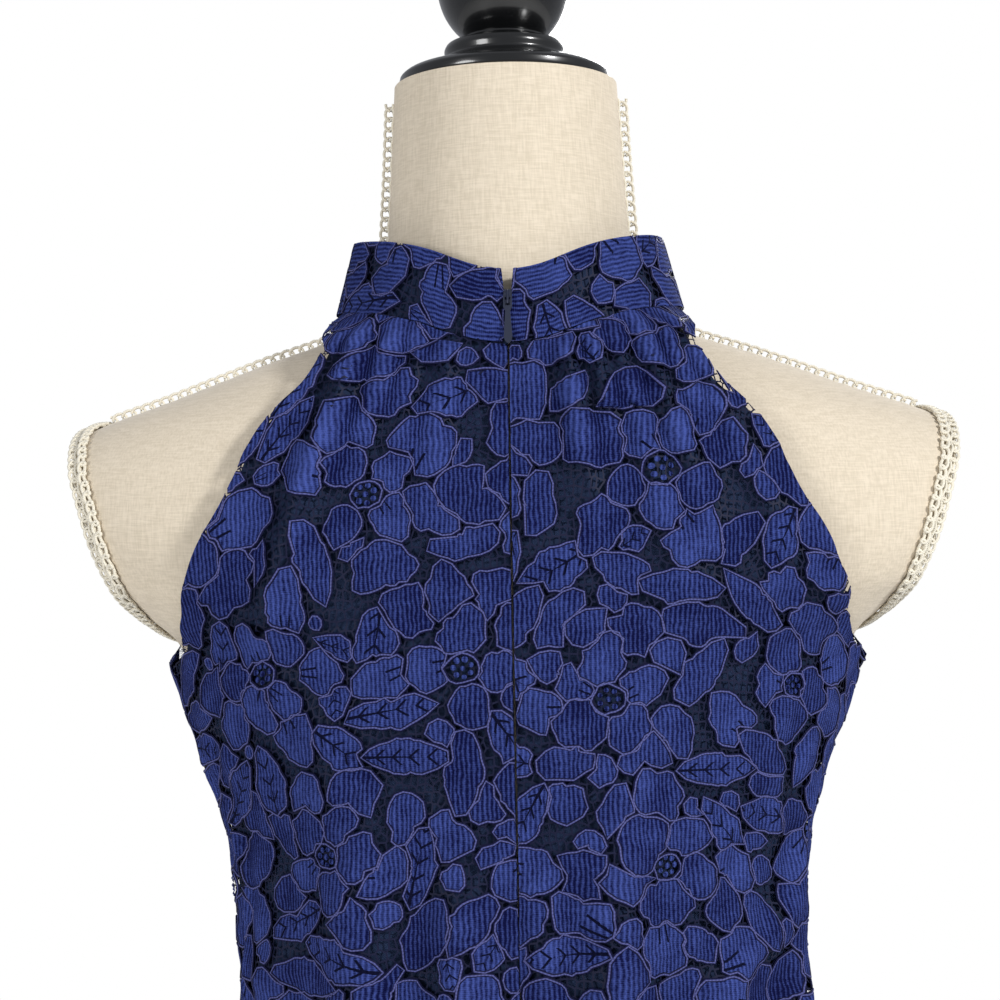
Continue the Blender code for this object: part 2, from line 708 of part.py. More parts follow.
def band(name, sections, closed, material, collection):
    """A solid strip through four-cornered sections, in a ring or with both ends capped."""
    points = [tuple(point) for section in sections for point in section]
    count = len(sections)
    faces = []
    for j in range(count if closed else count - 1):
        for i in range(4):
            a, b = j * 4 + i, j * 4 + (i + 1) % 4
            c, d = ((j + 1) % count) * 4 + (i + 1) % 4, ((j + 1) % count) * 4 + i
            faces.append((a, b, c, d))
    if not closed:
        faces += [(0, 1, 2, 3), tuple(range(4 * count - 4, 4 * count))]
    mesh = bpy.data.meshes.new(name)
    mesh.from_pydata(points, [], faces)
    edit = bmesh.new()
    edit.from_mesh(mesh)
    bmesh.ops.recalc_face_normals(edit, faces=edit.faces)
    edit.to_mesh(mesh)
    edit.free()
    obj = bpy.data.objects.new(name, mesh)
    obj.data.materials.append(material)
    collection.objects.link(obj)


def inside_form(point):
    section = section_at(FORM_SECTIONS, point.z)
    depth = section.back if point.y >= 0.0 else section.front
    power = section.squareness
    return (abs(point.x) / section.half_width) ** power + (abs(point.y) / depth) ** power


def form_normal(point):
    step = 0.0005
    slope = [
        inside_form(point + Vector(axis) * step) - inside_form(point - Vector(axis) * step)
        for axis in ((1, 0, 0), (0, 1, 0), (0, 0, 1))
    ]
    return Vector(slope).normalized()


def make_arm_braid(side, name, materials, collection):
    """The trim that lies on the form along the arm plate's edge."""
    normal = arm_plate_normal(side)
    centre = arm_plate_point(side)
    up = (Vector((0, 0, 1)) - normal * normal.z).normalized()
    across = normal.cross(up)
    centre = centre - up * 0.030
    sections = []
    steps = 28
    for k in range(steps):
        turn = 2.0 * pi * k / steps
        way = up * cos(turn) + across * sin(turn)
        low, high = 0.0, 0.12
        for _ in range(30):
            middle = 0.5 * (low + high)
            low, high = (middle, high) if inside_form(centre + way * middle) < 1.0 else (low, middle)
        edge = centre + way * low
        out = form_normal(edge)
        inward = (-normal + out * out.dot(normal)).normalized()
        far = edge + inward * ARM_BRAID_WIDTH
        for _ in range(8):
            miss = (inside_form(far) - 1.0) * 0.02
            far = far - out * miss
        far_out = form_normal(far)
        sections.append([
            edge + out * ARM_BRAID_GAP,
            edge + out * (ARM_BRAID_GAP + ARM_BRAID_THICK),
            far + far_out * (ARM_BRAID_GAP + ARM_BRAID_THICK),
            far + far_out * ARM_BRAID_GAP,
        ])
    band(name, sections, True, materials["braid"], collection)


def make_shoulder_braid(side, name, materials, collection):
    """The trim that runs down the side of the neck and out along the shoulder."""
    half = SHOULDER_BRAID_WIDTH / 2.0
    near, far = SHOULDER_BRAID_GAP, SHOULDER_BRAID_GAP + SHOULDER_BRAID_THICK
    sections = []
    for height in SHOULDER_BRAID_HEIGHTS:
        reach = through(FORM_SECTIONS, "half_width", "height", height)
        slope = through(FORM_SECTIONS, "half_width", "height", height + 0.001)
        slope = (slope - through(FORM_SECTIONS, "half_width", "height", height - 0.001)) / 0.002
        out = Vector((1.0, 0.0, -slope)).normalized()
        edge = Vector((reach, 0.0, height))
        section = []
        for y, lift in ((-half, near), (-half, far), (half, far), (half, near)):
            point = edge + out * lift
            section.append(Vector((side * point.x, y, point.z)))
        sections.append(section)
    band(name, sections, False, materials["braid"], collection)


def turned(name, profile, steps, material, collection):
    """A turned shape: a profile of radius and height, top to bottom, round the Z axis."""
    mesh = bpy.data.meshes.new(name)
    points = [(radius, 0.0, height) for radius, height in profile]
    mesh.from_pydata(points, [(i, i + 1) for i in range(len(points) - 1)], [])
    obj = bpy.data.objects.new(name, mesh)
    obj.data.materials.append(material)
    collection.objects.link(obj)
    screw = obj.modifiers.new("turn", "SCREW")
    screw.axis = "Z"
    screw.steps = steps
    screw.render_steps = steps
    screw.use_merge_vertices = True
    screw.merge_threshold = 1e-5
    screw.use_smooth_shade = True
    return obj


CAP_RADIUS = 0.0465
KNOB_RADIUS = 0.0292
KNOB_CENTRE = 1.534
KNOB_END = 52.0  # how far below level the ball runs before its waist, in degrees


def make_neck_cap(materials, collection):
    foot = NECK_TOP + PIECE_GAP
    profile = []
    for i in range(9):
        turn = radians(90.0 - (90.0 + KNOB_END) * i / 8.0)
        profile.append((KNOB_RADIUS * cos(turn), KNOB_CENTRE + KNOB_RADIUS * sin(turn)))
    profile[0] = (0.0, KNOB_CENTRE + KNOB_RADIUS)
    profile += [
        (0.0182, foot + 0.0205),
        (0.0255, foot + 0.0185),
        (0.0268, foot + 0.0160),
        (0.0262, foot + 0.0125),
        (0.0310, foot + 0.0095),
        (0.0440, foot + 0.0060),
        (CAP_RADIUS, foot + 0.0040),
        (CAP_RADIUS, foot + 0.0008),
        (CAP_RADIUS - 0.0008, foot),
        (0.0, foot),
    ]
    turned("form_neck_cap", profile, 18, materials["black_wood"], collection)


def make_stand(materials, collection):
    top = FORM_SECTIONS[0].height - PIECE_GAP
    foot = BASE_HEIGHT + PIECE_GAP
    pole = [(0.0, top), (POLE_RADIUS, top), (POLE_RADIUS, foot), (0.0, foot)]
    turned("form_pole", pole, 16, materials["black_wood"], collection)
    base = [
        (0.0, BASE_HEIGHT),
        (0.030, BASE_HEIGHT),
        (0.120, BASE_HEIGHT - 0.004),
        (BASE_RADIUS - 0.008, 0.015),
        (BASE_RADIUS, 0.010),
        (BASE_RADIUS, 0.0),
        (0.0, 0.0),
    ]
    turned("form_base", base, 32, materials["black_wood"], collection)


def main():
    clear_scene()
    collection = make_collection("lace_dress_on_form")
    cutters = make_collection("cutters")
    cutters.hide_render = True
    materials = make_materials()
    make_form(materials, collection)
    make_neck_cap(materials, collection)
    make_stand(materials, collection)
    for side, word in ((1, "left"), (-1, "right")):
        make_arm_braid(side, f"arm_braid_{word}", materials, collection)
        make_shoulder_braid(side, f"shoulder_braid_{word}", materials, collection)
    make_body_panels(materials, collection)
    make_collar("collar", 0.0, LACE_THICK, COLLAR_FOOT, 1.0, materials["lace"], collection)
    make_collar(
        "collar_lining", COLLAR_LINING_INSET, COLLAR_LINING_THICK,
        COLLAR_LINING_FOOT, COLLAR_LINING_HEAD, materials["lining"], collection,
    )
    make_zip_tapes(materials, collection)
    frame = make_slider(materials, collection, cutters)
    make_pull(frame, materials, collection)


main()
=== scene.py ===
import json
import math

import bmesh
import bpy
import numpy as np
from mathutils import Matrix, Vector

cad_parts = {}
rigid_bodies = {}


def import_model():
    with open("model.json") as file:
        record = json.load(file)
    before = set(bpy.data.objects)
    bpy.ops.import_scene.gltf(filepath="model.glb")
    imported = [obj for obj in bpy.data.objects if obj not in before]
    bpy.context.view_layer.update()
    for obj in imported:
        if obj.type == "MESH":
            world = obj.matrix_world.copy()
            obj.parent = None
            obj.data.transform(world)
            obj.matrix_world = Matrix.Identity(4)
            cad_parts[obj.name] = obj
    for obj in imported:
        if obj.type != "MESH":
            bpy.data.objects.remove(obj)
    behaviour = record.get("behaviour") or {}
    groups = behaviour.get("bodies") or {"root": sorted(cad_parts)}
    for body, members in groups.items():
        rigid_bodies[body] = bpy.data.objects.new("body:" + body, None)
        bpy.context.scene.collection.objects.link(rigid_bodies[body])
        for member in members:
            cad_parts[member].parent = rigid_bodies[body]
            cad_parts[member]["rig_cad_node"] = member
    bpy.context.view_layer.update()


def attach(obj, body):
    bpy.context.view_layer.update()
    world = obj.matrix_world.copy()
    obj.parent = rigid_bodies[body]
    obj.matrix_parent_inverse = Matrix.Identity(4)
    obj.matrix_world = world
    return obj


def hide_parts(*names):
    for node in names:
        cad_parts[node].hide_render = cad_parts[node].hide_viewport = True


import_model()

# A halter cocktail dress in corded lace over a dark lining, on a linen dress form.
# Metres, +Z up. The zip is at +Y and the wearer's left at +X. Angles run from the centre back.

dressBody = "dress_on_form"
pullBody = "zip_pull"
millimetre = 0.001
partSet = bpy.data.collections.new("looks")
bpy.context.scene.collection.children.link(partSet)

# ---- small helpers


def linear(hexColour):
    """""" if False else None
    parts = [int(hexColour[i:i + 2], 16) / 255 for i in (0, 2, 4)]
    return tuple(p / 12.92 if p <= 0.04045 else ((p + 0.055) / 1.055) ** 2.4 for p in parts) + (1.0,)


def addNode(tree, kind, settings=None, links=None):
    # links maps an input of the new node to an output socket of another
    node = tree.nodes.new(kind)
    for key, value in (settings or {}).items():
        if isinstance(key, str) and hasattr(node, key):
            setattr(node, key, value)
        else:
            node.inputs[key].default_value = value
    for key, socket in (links or {}).items():
        tree.links.new(socket, node.inputs[key])
    return node


def newMaterial(name, colour, roughness, **settings):
    material = bpy.data.materials.new(name)
    material.use_nodes = True
    tree = material.node_tree
    shader = tree.nodes["Principled BSDF"]
    shader.inputs["Base Color"].default_value = linear(colour)
    shader.inputs["Roughness"].default_value = roughness
    for key, value in settings.items():
        shader.inputs[key.replace("_", " ")].default_value = value
    return material, tree, shader


def smoothThrough(keys, values, at):
    # the same smooth curve through a table that the form and the dress were cut with
    k, v = np.asarray(keys, float), np.asarray(values, float)
    at = np.clip(np.asarray(at, float), k[0], k[-1])
    i = np.clip(np.searchsorted(k, at) - 1, 0, len(k) - 2)
    span, slope = np.diff(k), np.diff(v) / np.diff(k)
    before, after = slope[:-1], slope[1:]
    both = np.where(before * after > 0, 2 * before * after / np.where(before + after == 0, 1, before + after), 0)
    tangent = np.concatenate([slope[:1], both, slope[-1:]])
    t = (at - k[i]) / span[i]
    return (
        v[i] * (2 * t**3 - 3 * t**2 + 1) + tangent[i] * span[i] * (t**3 - 2 * t**2 + t)
        + v[i + 1] * (3 * t**2 - 2 * t**3) + tangent[i + 1] * span[i] * (t**3 - t**2)
    )


def softStep(low, high, at):
    t = np.clip((at - low) / (high - low), 0, 1)
    return t * t * (3 - 2 * t)


# ---- the form's and the dress's sections: height, half width, back, front, squareness

formShape = {
    "sections": [
        (0.7750, 0.1500, 0.1000, 0.0960, 2.20), (0.7830, 0.1580, 0.1060, 0.1010, 2.20),
        (0.8000, 0.1650, 0.1100, 0.1040, 2.20), (0.8400, 0.1640, 0.1110, 0.1050, 2.20),
        (0.8800, 0.1550, 0.1020, 0.1040, 2.20), (0.9300, 0.1340, 0.0850, 0.0980, 2.20),
        (0.9850, 0.1105, 0.0730, 0.0910, 2.20), (1.0300, 0.1085, 0.0740, 0.0940, 2.20),
        (1.0880, 0.1116, 0.0820, 0.1030, 2.20), (1.1360, 0.1130, 0.0890, 0.1130, 2.20),
        (1.1560, 0.1145, 0.0910, 0.1180, 2.20), (1.1790, 0.1204, 0.0930, 0.1220, 2.20),
        (1.2000, 0.1285, 0.0945, 0.1230, 2.20), (1.2200, 0.1365, 0.0955, 0.1200, 2.20),
        (1.2400, 0.1428, 0.0955, 0.1140, 2.20), (1.2500, 0.1482, 0.0950, 0.1105, 2.20),
        (1.2620, 0.1640, 0.0940, 0.1060, 2.20), (1.2750, 0.1860, 0.0925, 0.1010, 2.20),
        (1.3000, 0.2080, 0.0875, 0.0900, 2.20), (1.3200, 0.2110, 0.0820, 0.0790, 2.20),
        (1.3300, 0.2030, 0.0790, 0.0725, 2.18), (1.3400, 0.1870, 0.0755, 0.0660, 2.16),
        (1.3540, 0.1480, 0.0700, 0.0600, 2.13), (1.3680, 0.1100, 0.0630, 0.0565, 2.08),
        (1.3820, 0.0710, 0.0580, 0.0548, 2.00), (1.3920, 0.0600, 0.0560, 0.0542, 2.00),
        (1.4050, 0.0548, 0.0540, 0.0534, 2.00), (1.4400, 0.0516, 0.0512, 0.0512, 2.00),
        (1.4890, 0.0488, 0.0488, 0.0488, 2.00),
    ],
    "platePoint": (0.1812, 0.0, 1.330),
    "plateLean": math.radians(20.0),
    "plateYaw": math.radians(7.0),
}
dressShape = {
    "sections": [
        (0.5200, 0.1860, 0.1500, 0.1520, 2.10), (0.6000, 0.1840, 0.1440, 0.1460, 2.10),
        (0.7000, 0.1790, 0.1360, 0.1370, 2.12), (0.7800, 0.1740, 0.1265, 0.1240, 2.16),
        (0.8300, 0.1700, 0.1190, 0.1160, 2.20), (0.8800, 0.1610, 0.1100, 0.1130, 2.20),
        (0.9300, 0.1400, 0.0990, 0.1100, 2.20), (0.9850, 0.1240, 0.0915, 0.1075, 2.20),
        (1.0400, 0.1180, 0.0910, 0.1080, 2.20), (1.0880, 0.1176, 0.0950, 0.1125, 2.20),
        (1.1360, 0.1192, 0.0985, 0.1195, 2.20), (1.1560, 0.1206, 0.0995, 0.1242, 2.20),
        (1.1790, 0.1262, 0.1004, 0.1290, 2.20), (1.2000, 0.1344, 0.1010, 0.1298, 2.20),
        (1.2200, 0.1424, 0.1012, 0.1264, 2.20), (1.2410, 0.1500, 0.1012, 0.1196, 2.20),
    ],
    "ease": 0.0058,
    "liningInset": 0.0020,
    "liningShorter": 0.015,
    "zipHalfGap": 0.0004,
}
collarShape = {"seamX": 0.0750, "seamY": 0.0703, "topX": 0.0662, "topY": 0.0618, "height": 0.031, "corner": 70.0}
hemHeight = dressShape["sections"][0][0]
underarm = dressShape["sections"][-1][0]

# share of the way up the armhole, height, angle round from the centre back or front
backArmhole = [
    (0.00, 1.2410, 90.0), (0.10, 1.2436, 74.0), (0.20, 1.2515, 60.5), (0.30, 1.2640, 49.0),
    (0.40, 1.2790, 39.6), (0.50, 1.2960, 33.2), (0.60, 1.3140, 29.0), (0.70, 1.3320, 27.2),
    (0.80, 1.3500, 27.6), (0.90, 1.3690, 34.5),
]
frontArmhole = [
    (0.00, 1.2410, 90.0), (0.10, 1.2436, 74.0), (0.20, 1.2515, 60.5), (0.30, 1.2640, 47.0),
    (0.40, 1.2790, 38.0), (0.50, 1.2960, 32.0), (0.60, 1.3140, 29.8), (0.70, 1.3320, 28.5),
    (0.80, 1.3500, 31.0), (0.90, 1.3690, 41.0),
]


def sectionAt(table, height):
    columns = list(zip(*table))
    return [smoothThrough(columns[0], column, height) for column in columns[1:]]


def clothSection(height):
    height = np.asarray(height, float)
    cut = sectionAt(dressShape["sections"], height)
    here = sectionAt(formShape["sections"], height)
    below = sectionAt(formShape["sections"], height - dressShape["ease"])
    onForm = [np.maximum(here[c], below[c]) + dressShape["ease"] for c in range(3)] + [below[3]]
    return [np.where(height <= underarm, cut[c], onForm[c]) for c in range(4)]


def onSection(section, angle, grow=0.0):
    halfWidth, back, front, squareness = section
    turn = np.radians(angle)
    power = 2.0 / squareness
    depth = np.where(np.cos(turn) >= 0, back, front)
    x = (halfWidth + grow) * np.abs(np.sin(turn)) ** power * np.sign(np.sin(turn))
    y = (depth + grow) * np.abs(np.cos(turn)) ** power * np.sign(np.cos(turn))
    return x, y


def ringShare(x, y):
    # 1 on the collar's seam, seen from above, and more outside it
    return np.sqrt((x / collarShape["seamX"]) ** 2 + (y / collarShape["seamY"]) ** 2)


def seamHeight(angle):
    x = collarShape["seamX"] * np.sin(np.radians(angle))
    y = collarShape["seamY"] * np.cos(np.radians(angle))
    low, high = np.full(np.shape(x), underarm), np.full(np.shape(x), 1.47)
    for _ in range(40):
        middle = 0.5 * (low + high)
        halfWidth, back, front, squareness = clothSection(middle)
        depth = np.where(y >= 0, back, front)
        inside = (np.abs(x) / halfWidth) ** squareness + (np.abs(y) / depth) ** squareness < 1
        low, high = np.where(inside, middle, low), np.where(inside, high, middle)
    return 0.5 * (low + high)


# ---- gathers and folds: the main creases, placed one by one

gathers = [  # panel, side, then in millimetres: place along the collar seam, half width, depth, length
    ("back", 1, 10, 2.6, 1.0, 30), ("back", 1, 23, 3.4, 2.2, 80), ("back", 1, 35, 2.8, 1.8, 50), ("back", 1, 45, 3.2, 3.0, 60),
    ("back", 1, 57, 3.8, 5.0, 135), ("back", 1, 66, 2.8, 2.6, 50), ("back", 1, 72, 2.8, 1.2, 60),
    ("back", -1, 9, 2.4, 1.0, 30), ("back", -1, 22, 3.3, 4.2, 75), ("back", -1, 32, 2.8, 3.0, 55),
    ("back", -1, 41, 3.0, 2.0, 125), ("back", -1, 51, 3.4, 3.8, 90), ("back", -1, 60, 2.8, 2.6, 50),
    ("back", -1, 68, 3.2, 2.6, 105),
    ("front", 1, 12, 3.0, 0.8, 30), ("front", 1, 25, 3.6, 1.8, 70), ("front", 1, 37, 3.2, 2.6, 95), ("front", 1, 48, 3.2, 2.0, 60),
    ("front", 1, 58, 3.4, 3.0, 110), ("front", 1, 68, 3.0, 1.6, 50),
    ("front", -1, 17, 3.2, 1.0, 40), ("front", -1, 29, 3.4, 2.2, 80), ("front", -1, 42, 3.4, 3.0, 115),
    ("front", -1, 53, 3.0, 1.8, 50), ("front", -1, 64, 3.2, 2.4, 85),
]
folds = [  # side, angle at the top, angle at the hem, width, top, full, depth
    (1, 9.0, 10.0, 5.0, 1.205, 1.125, 0.0050), (1, 29.0, 33.0, 8.0, 1.255, 1.105, 0.0060),
    (1, 58.0, 62.0, 8.0, 1.185, 1.025, 0.0050), (1, 79.0, 84.0, 5.0, 1.250, 1.155, 0.0024),
    (1, 68.0, 70.0, 3.0, 1.235, 1.165, 0.0018), (1, 73.5, 76.0, 2.4, 1.255, 1.185, 0.0014),
    (-1, 16.0, 18.0, 6.0, 1.225, 1.125, 0.0065), (-1, 41.0, 40.0, 8.0, 1.175, 1.025, 0.0055),
    (-1, 66.0, 68.0, 8.0, 1.245, 1.085, 0.0050), (-1, 79.0, 81.0, 3.0, 1.230, 1.155, 0.0018),
    (-1, 3.5, 6.0, 2.6, 1.185, 1.125, 0.0022),
    (1, 112.0, 108.0, 9.0, 1.080, 0.900, 0.0050), (1, 141.0, 138.0, 9.0, 1.050, 0.880, 0.0060),
    (1, 170.0, 168.0, 8.0, 1.000, 0.860, 0.0045), (1, 98.0, 97.0, 4.0, 1.170, 1.060, 0.0018),
    (-1, 106.0, 102.0, 9.0, 1.060, 0.900, 0.0055), (-1, 133.0, 131.0, 9.0, 1.090, 0.900, 0.0050),
    (-1, 158.0, 160.0, 9.0, 1.020, 0.860, 0.0060), (-1, 96.0, 95.0, 4.0, 1.160, 1.070, 0.0016),
]
crossFolds = [  # side, angle, angle's width, height, height's width, slant in metres a degree, depth
    (-1, 52.0, 14.0, 1.128, 0.010, 0.0010, 0.0026), (-1, 60.0, 12.0, 1.090, 0.009, 0.0012, 0.0022),
    (1, 60.0, 14.0, 1.115, 0.010, -0.0009, 0.0016), (1, 120.0, 16.0, 1.110, 0.011, 0.0008, 0.0020),
    (-1, 124.0, 16.0, 1.100, 0.010, -0.0009, 0.0020), (-1, 24.0, 10.0, 1.050, 0.009, 0.0010, 0.0016),
]


creaseScale = {"gathers": 1.9, "fan": 6.0, "folds": 1.8, "crossFolds": 1.6, "pucker": 0.00014}


def puckers(side, angle, height):
    # the cloth's small unevenness, in soft waves 14 to 45 mm long
    draw = np.random.default_rng(7 + side)
    across, out = angle * 0.0022, np.zeros(np.shape(angle))
    for _ in range(26):
        turn, length = draw.uniform(0, math.pi), draw.uniform(0.014, 0.045)
        wave = (across * math.cos(turn) + height * math.sin(turn)) * math.tau / length
        out += creaseScale["pucker"] * np.sin(wave + draw.uniform(0, math.tau))
    return out


def foldHeight(panel, side, reach, angle, height, seam):
    # how far the cloth stands out from its plain surface; side is +1 or -1 at each point
    out = puckers(side, angle, height)
    below = np.maximum(seam - height, 0)
    for part, which, at, width, depth, length in gathers:
        if part != panel or which != side:
            continue
        place = at * millimetre * (1 + creaseScale["fan"] * below)  # they fan out as they run down
        spread = width * millimetre * (1 + below / 0.10)
        pinned = 0.25 + 0.75 * softStep(0.0, 0.012, below)  # the seam holds them flat
        fade = pinned * (1 - softStep(0.30 * length * millimetre, 1.20 * length * millimetre, below))
        out += creaseScale["gathers"] * depth * millimetre * fade * np.exp(-(((reach - place) / spread) ** 2))
    for which, top, foot, width, begins, full, depth in folds:
        grown = 1 - softStep(full, begins, height)
        place = top + (foot - top) * (begins - height) / (begins - hemHeight)
        out += np.where(side == which, creaseScale["folds"] * depth * grown * np.exp(-(((angle - place) / width) ** 2)), 0)
    for which, at, width, level, tall, slant, depth in crossFolds:
        line = level + slant * (angle - at)
        hump = np.exp(-(((angle - at) / width) ** 2) - ((height - line) / tall) ** 2)
        out += np.where(side == which, creaseScale["crossFolds"] * depth * hump, 0)
    return out


class ClothMap:
    # A panel's flat pattern and its place on the form: s runs round from the centre line and
    # t up from the hem, both as real lengths on the cloth.

    def __init__(self, front):
        self.front = front
        self.s = np.linspace(0, 0.345, 231)
        self.z = np.concatenate([np.linspace(hemHeight, 1.20, 171), np.linspace(1.20, 1.3955, 160)[1:]])
        angles = np.linspace(0, 90, 241)
        real = 180 - angles if front else angles
        zGrid, aGrid = np.meshgrid(self.z, real, indexing="ij")
        x, y = onSection(clothSection(zGrid), aGrid)
        step = np.hypot(np.diff(x, axis=1), np.diff(y, axis=1))
        arc = np.concatenate([np.zeros((len(self.z), 1)), np.cumsum(step, axis=1)], axis=1)
        self.sideLength = arc[:, -1]
        turn = np.array([np.interp(self.s, row, angles) for row in arc])  # z by s
        past = np.maximum(self.s[None, :] - arc[:, -1:], 0)
        turn = turn + np.degrees(past / 0.15)
        real = 180 - turn if front else turn
        zAll = np.repeat(self.z[:, None], len(self.s), axis=1)
        x, y = onSection(clothSection(zAll), real)
        rise = np.sqrt(np.diff(x, axis=0) ** 2 + np.diff(y, axis=0) ** 2 + np.diff(zAll, axis=0) ** 2)
        climb = np.concatenate([np.zeros((1, len(self.s))), np.cumsum(rise, axis=0)], axis=0)
        self.t = np.arange(0, climb.max(), 0.002)
        self.height = np.empty((len(self.s), len(self.t)))
        self.turn = np.empty_like(self.height)
        for i in range(len(self.s)):
            self.height[i] = np.interp(self.t, climb[:, i], self.z)
            self.turn[i] = np.interp(self.height[i], self.z, turn[:, i])
        self.relief = {}
        self.sides = {1: self.place(1), -1: self.place(-1)}
        self.findEdges(arc, angles)

    def angle(self, turn):
        return 180 - turn if self.front else turn

    def place(self, side):
        angle = self.angle(self.turn)
        x, y = onSection(clothSection(self.height), angle)
        around = np.degrees(np.arctan2(np.abs(x) / collarShape["seamX"], y / collarShape["seamY"]))
        seam = np.interp(around, np.linspace(0, 180, 91), seamHeight(np.linspace(0, 180, 91)))
        out = foldHeight("front" if self.front else "back", side, self.s[:, None], angle, self.height, seam)
        blur = np.hanning(21) / np.hanning(21).sum()
        smooth = np.apply_along_axis(lambda line: np.convolve(np.pad(line, 10, "edge"), blur, "valid"), 0, out)
        self.relief[side] = (out - smooth) / millimetre
        dx, dy = np.gradient(x, axis=0), np.gradient(y, axis=0)
        nx, ny = -dy, dx
        flip = np.where(nx * x + ny * y < 0, -1, 1) / np.maximum(np.hypot(nx, ny), 1e-9)
        points = np.stack([(x + nx * flip * out) * side, y + ny * flip * out, self.height], axis=-1)
        along = np.gradient(points, axis=0)
        upward = np.gradient(points, axis=1)
        normal = np.cross(along, upward)
        normal /= np.maximum(np.linalg.norm(normal, axis=-1, keepdims=True), 1e-12)
        away = np.sum(normal * np.stack([x * side, y, 0 * x + 0.02], axis=-1), axis=-1, keepdims=True)
        return points, normal * np.where(away < 0, -1, 1)

    def findEdges(self, arc, angles):
        # the side seam and armhole give the widest s at each t, the collar the highest t at each s
        table = frontArmhole if self.front else backArmhole
        centre = 180.0 if self.front else 0.0
        cornerAngle = centre + (-1 if self.front else 1) * collarShape["corner"]
        cx = collarShape["seamX"] * math.sin(math.radians(cornerAngle))
        cy = collarShape["seamY"] * math.cos(math.radians(cornerAngle))
        cz = float(seamHeight(np.array([cornerAngle]))[0])
        halfWidth, back, front, squareness = [float(v) for v in clothSection(cz)]
        across = (cx / halfWidth) ** (squareness / 2)
        alongY = (abs(cy) / (front if self.front else back)) ** (squareness / 2)
        corner = (1.0, cz, math.degrees(math.atan2(across, alongY)))
        share, height, turn = (np.array(c) for c in zip(*(table + [corner])))
        fine = np.linspace(0, 1, 400)
        edgeZ, edgeTurn = smoothThrough(share, height, fine), smoothThrough(share, turn, fine)
        limit = np.where(self.height <= underarm, 90.0, np.interp(self.height, edgeZ, edgeTurn))
        over = self.turn - limit
        self.seamTop = self.t[np.argmax(self.height.min(axis=0) > underarm - 0.01)]
        self.sMax = np.empty(len(self.t))
        for k in range(len(self.t)):
            crossing = np.nonzero(over[:, k] > 0)[0]
            i = crossing[0] if len(crossing) else len(self.s) - 1
            low, high = over[i - 1, k], over[i, k]
            part = -low / (high - low) if high > low and low <= 0 else 0
            self.sMax[k] = self.s[i - 1] + part * (self.s[i] - self.s[i - 1])
        x, y = onSection(clothSection(self.height), self.angle(self.turn))
        inRing = 1 - ringShare(x, y)
        self.tMax = np.empty(len(self.s))
        for i in range(len(self.s)):
            crossing = np.nonzero((inRing[i] > 0) & (self.height[i] > 1.3))[0]
            k = crossing[0] if len(crossing) else len(self.t) - 1
            low, high = inRing[i, k - 1], inRing[i, k]
            part = -low / (high - low) if high > low else 0
            self.tMax[i] = self.t[k - 1] + part * (self.t[k] - self.t[k - 1])

    def clamp(self, s, t, tLow=0.0, sInset=0.0, tInset=0.0005):
        # keeps pattern points inside the cut piece; the last value says which were moved
        side = np.where(s < 0, -1, 1)
        reach = np.abs(s)
        t2 = np.maximum(t, tLow)
        inset = np.where(t2 > self.seamTop, sInset, -sInset / 2)  # at the side seam the linings lap a little
        s2 = np.minimum(reach, np.interp(t2, self.t, self.sMax) - inset)
        t2 = np.minimum(t2, np.interp(s2, self.s, self.tMax) - tInset)
        s2 = np.minimum(s2, np.interp(t2, self.t, self.sMax) - inset)
        s2 = s2 * side
        moved = (np.abs(s2 - s) > 1e-7) | (np.abs(t2 - t) > 1e-7)
        return s2, t2, moved

    def creaseAt(self, s, t):
        # how far a pattern point stands above the cloth next to it, in millimetres
        # the fills use this relief for painted light on fold ridges and painted shade in the furrows
        i = np.clip(np.round(np.abs(s) / (self.s[1] - self.s[0])).astype(int), 0, len(self.s) - 1)
        k = np.clip(np.round(t / (self.t[1] - self.t[0])).astype(int), 0, len(self.t) - 1)
        return np.where(s < 0, self.relief[-1][i, k], self.relief[1][i, k])

    def lift(self, s, t, height):
        # pattern points to space, raised off the cloth's middle by height
        reach = np.abs(s)
        u = np.clip(reach / (self.s[1] - self.s[0]), 0, len(self.s) - 1.001)
        v = np.clip(t / (self.t[1] - self.t[0]), 0, len(self.t) - 1.001)
        i, k = u.astype(int), v.astype(int)
        fu, fv = (u - i)[:, None], (v - k)[:, None]
        out = np.empty((len(reach), 3))
        for side in (1, -1):
            pick = (s < 0) if side < 0 else (s >= 0)
            if not pick.any():
                continue
            points, normals = self.sides[side]
            a, b, p, q = i[pick], k[pick], fu[pick], fv[pick]
            mix = [
                grid[a, b] * (1 - p) * (1 - q) + grid[a + 1, b] * p * (1 - q)
                + grid[a, b + 1] * (1 - p) * q + grid[a + 1, b + 1] * p * q
                for grid in (points, normals)
            ]
            out[pick] = mix[0] + mix[1] * np.asarray(height)[pick][:, None]
        return out


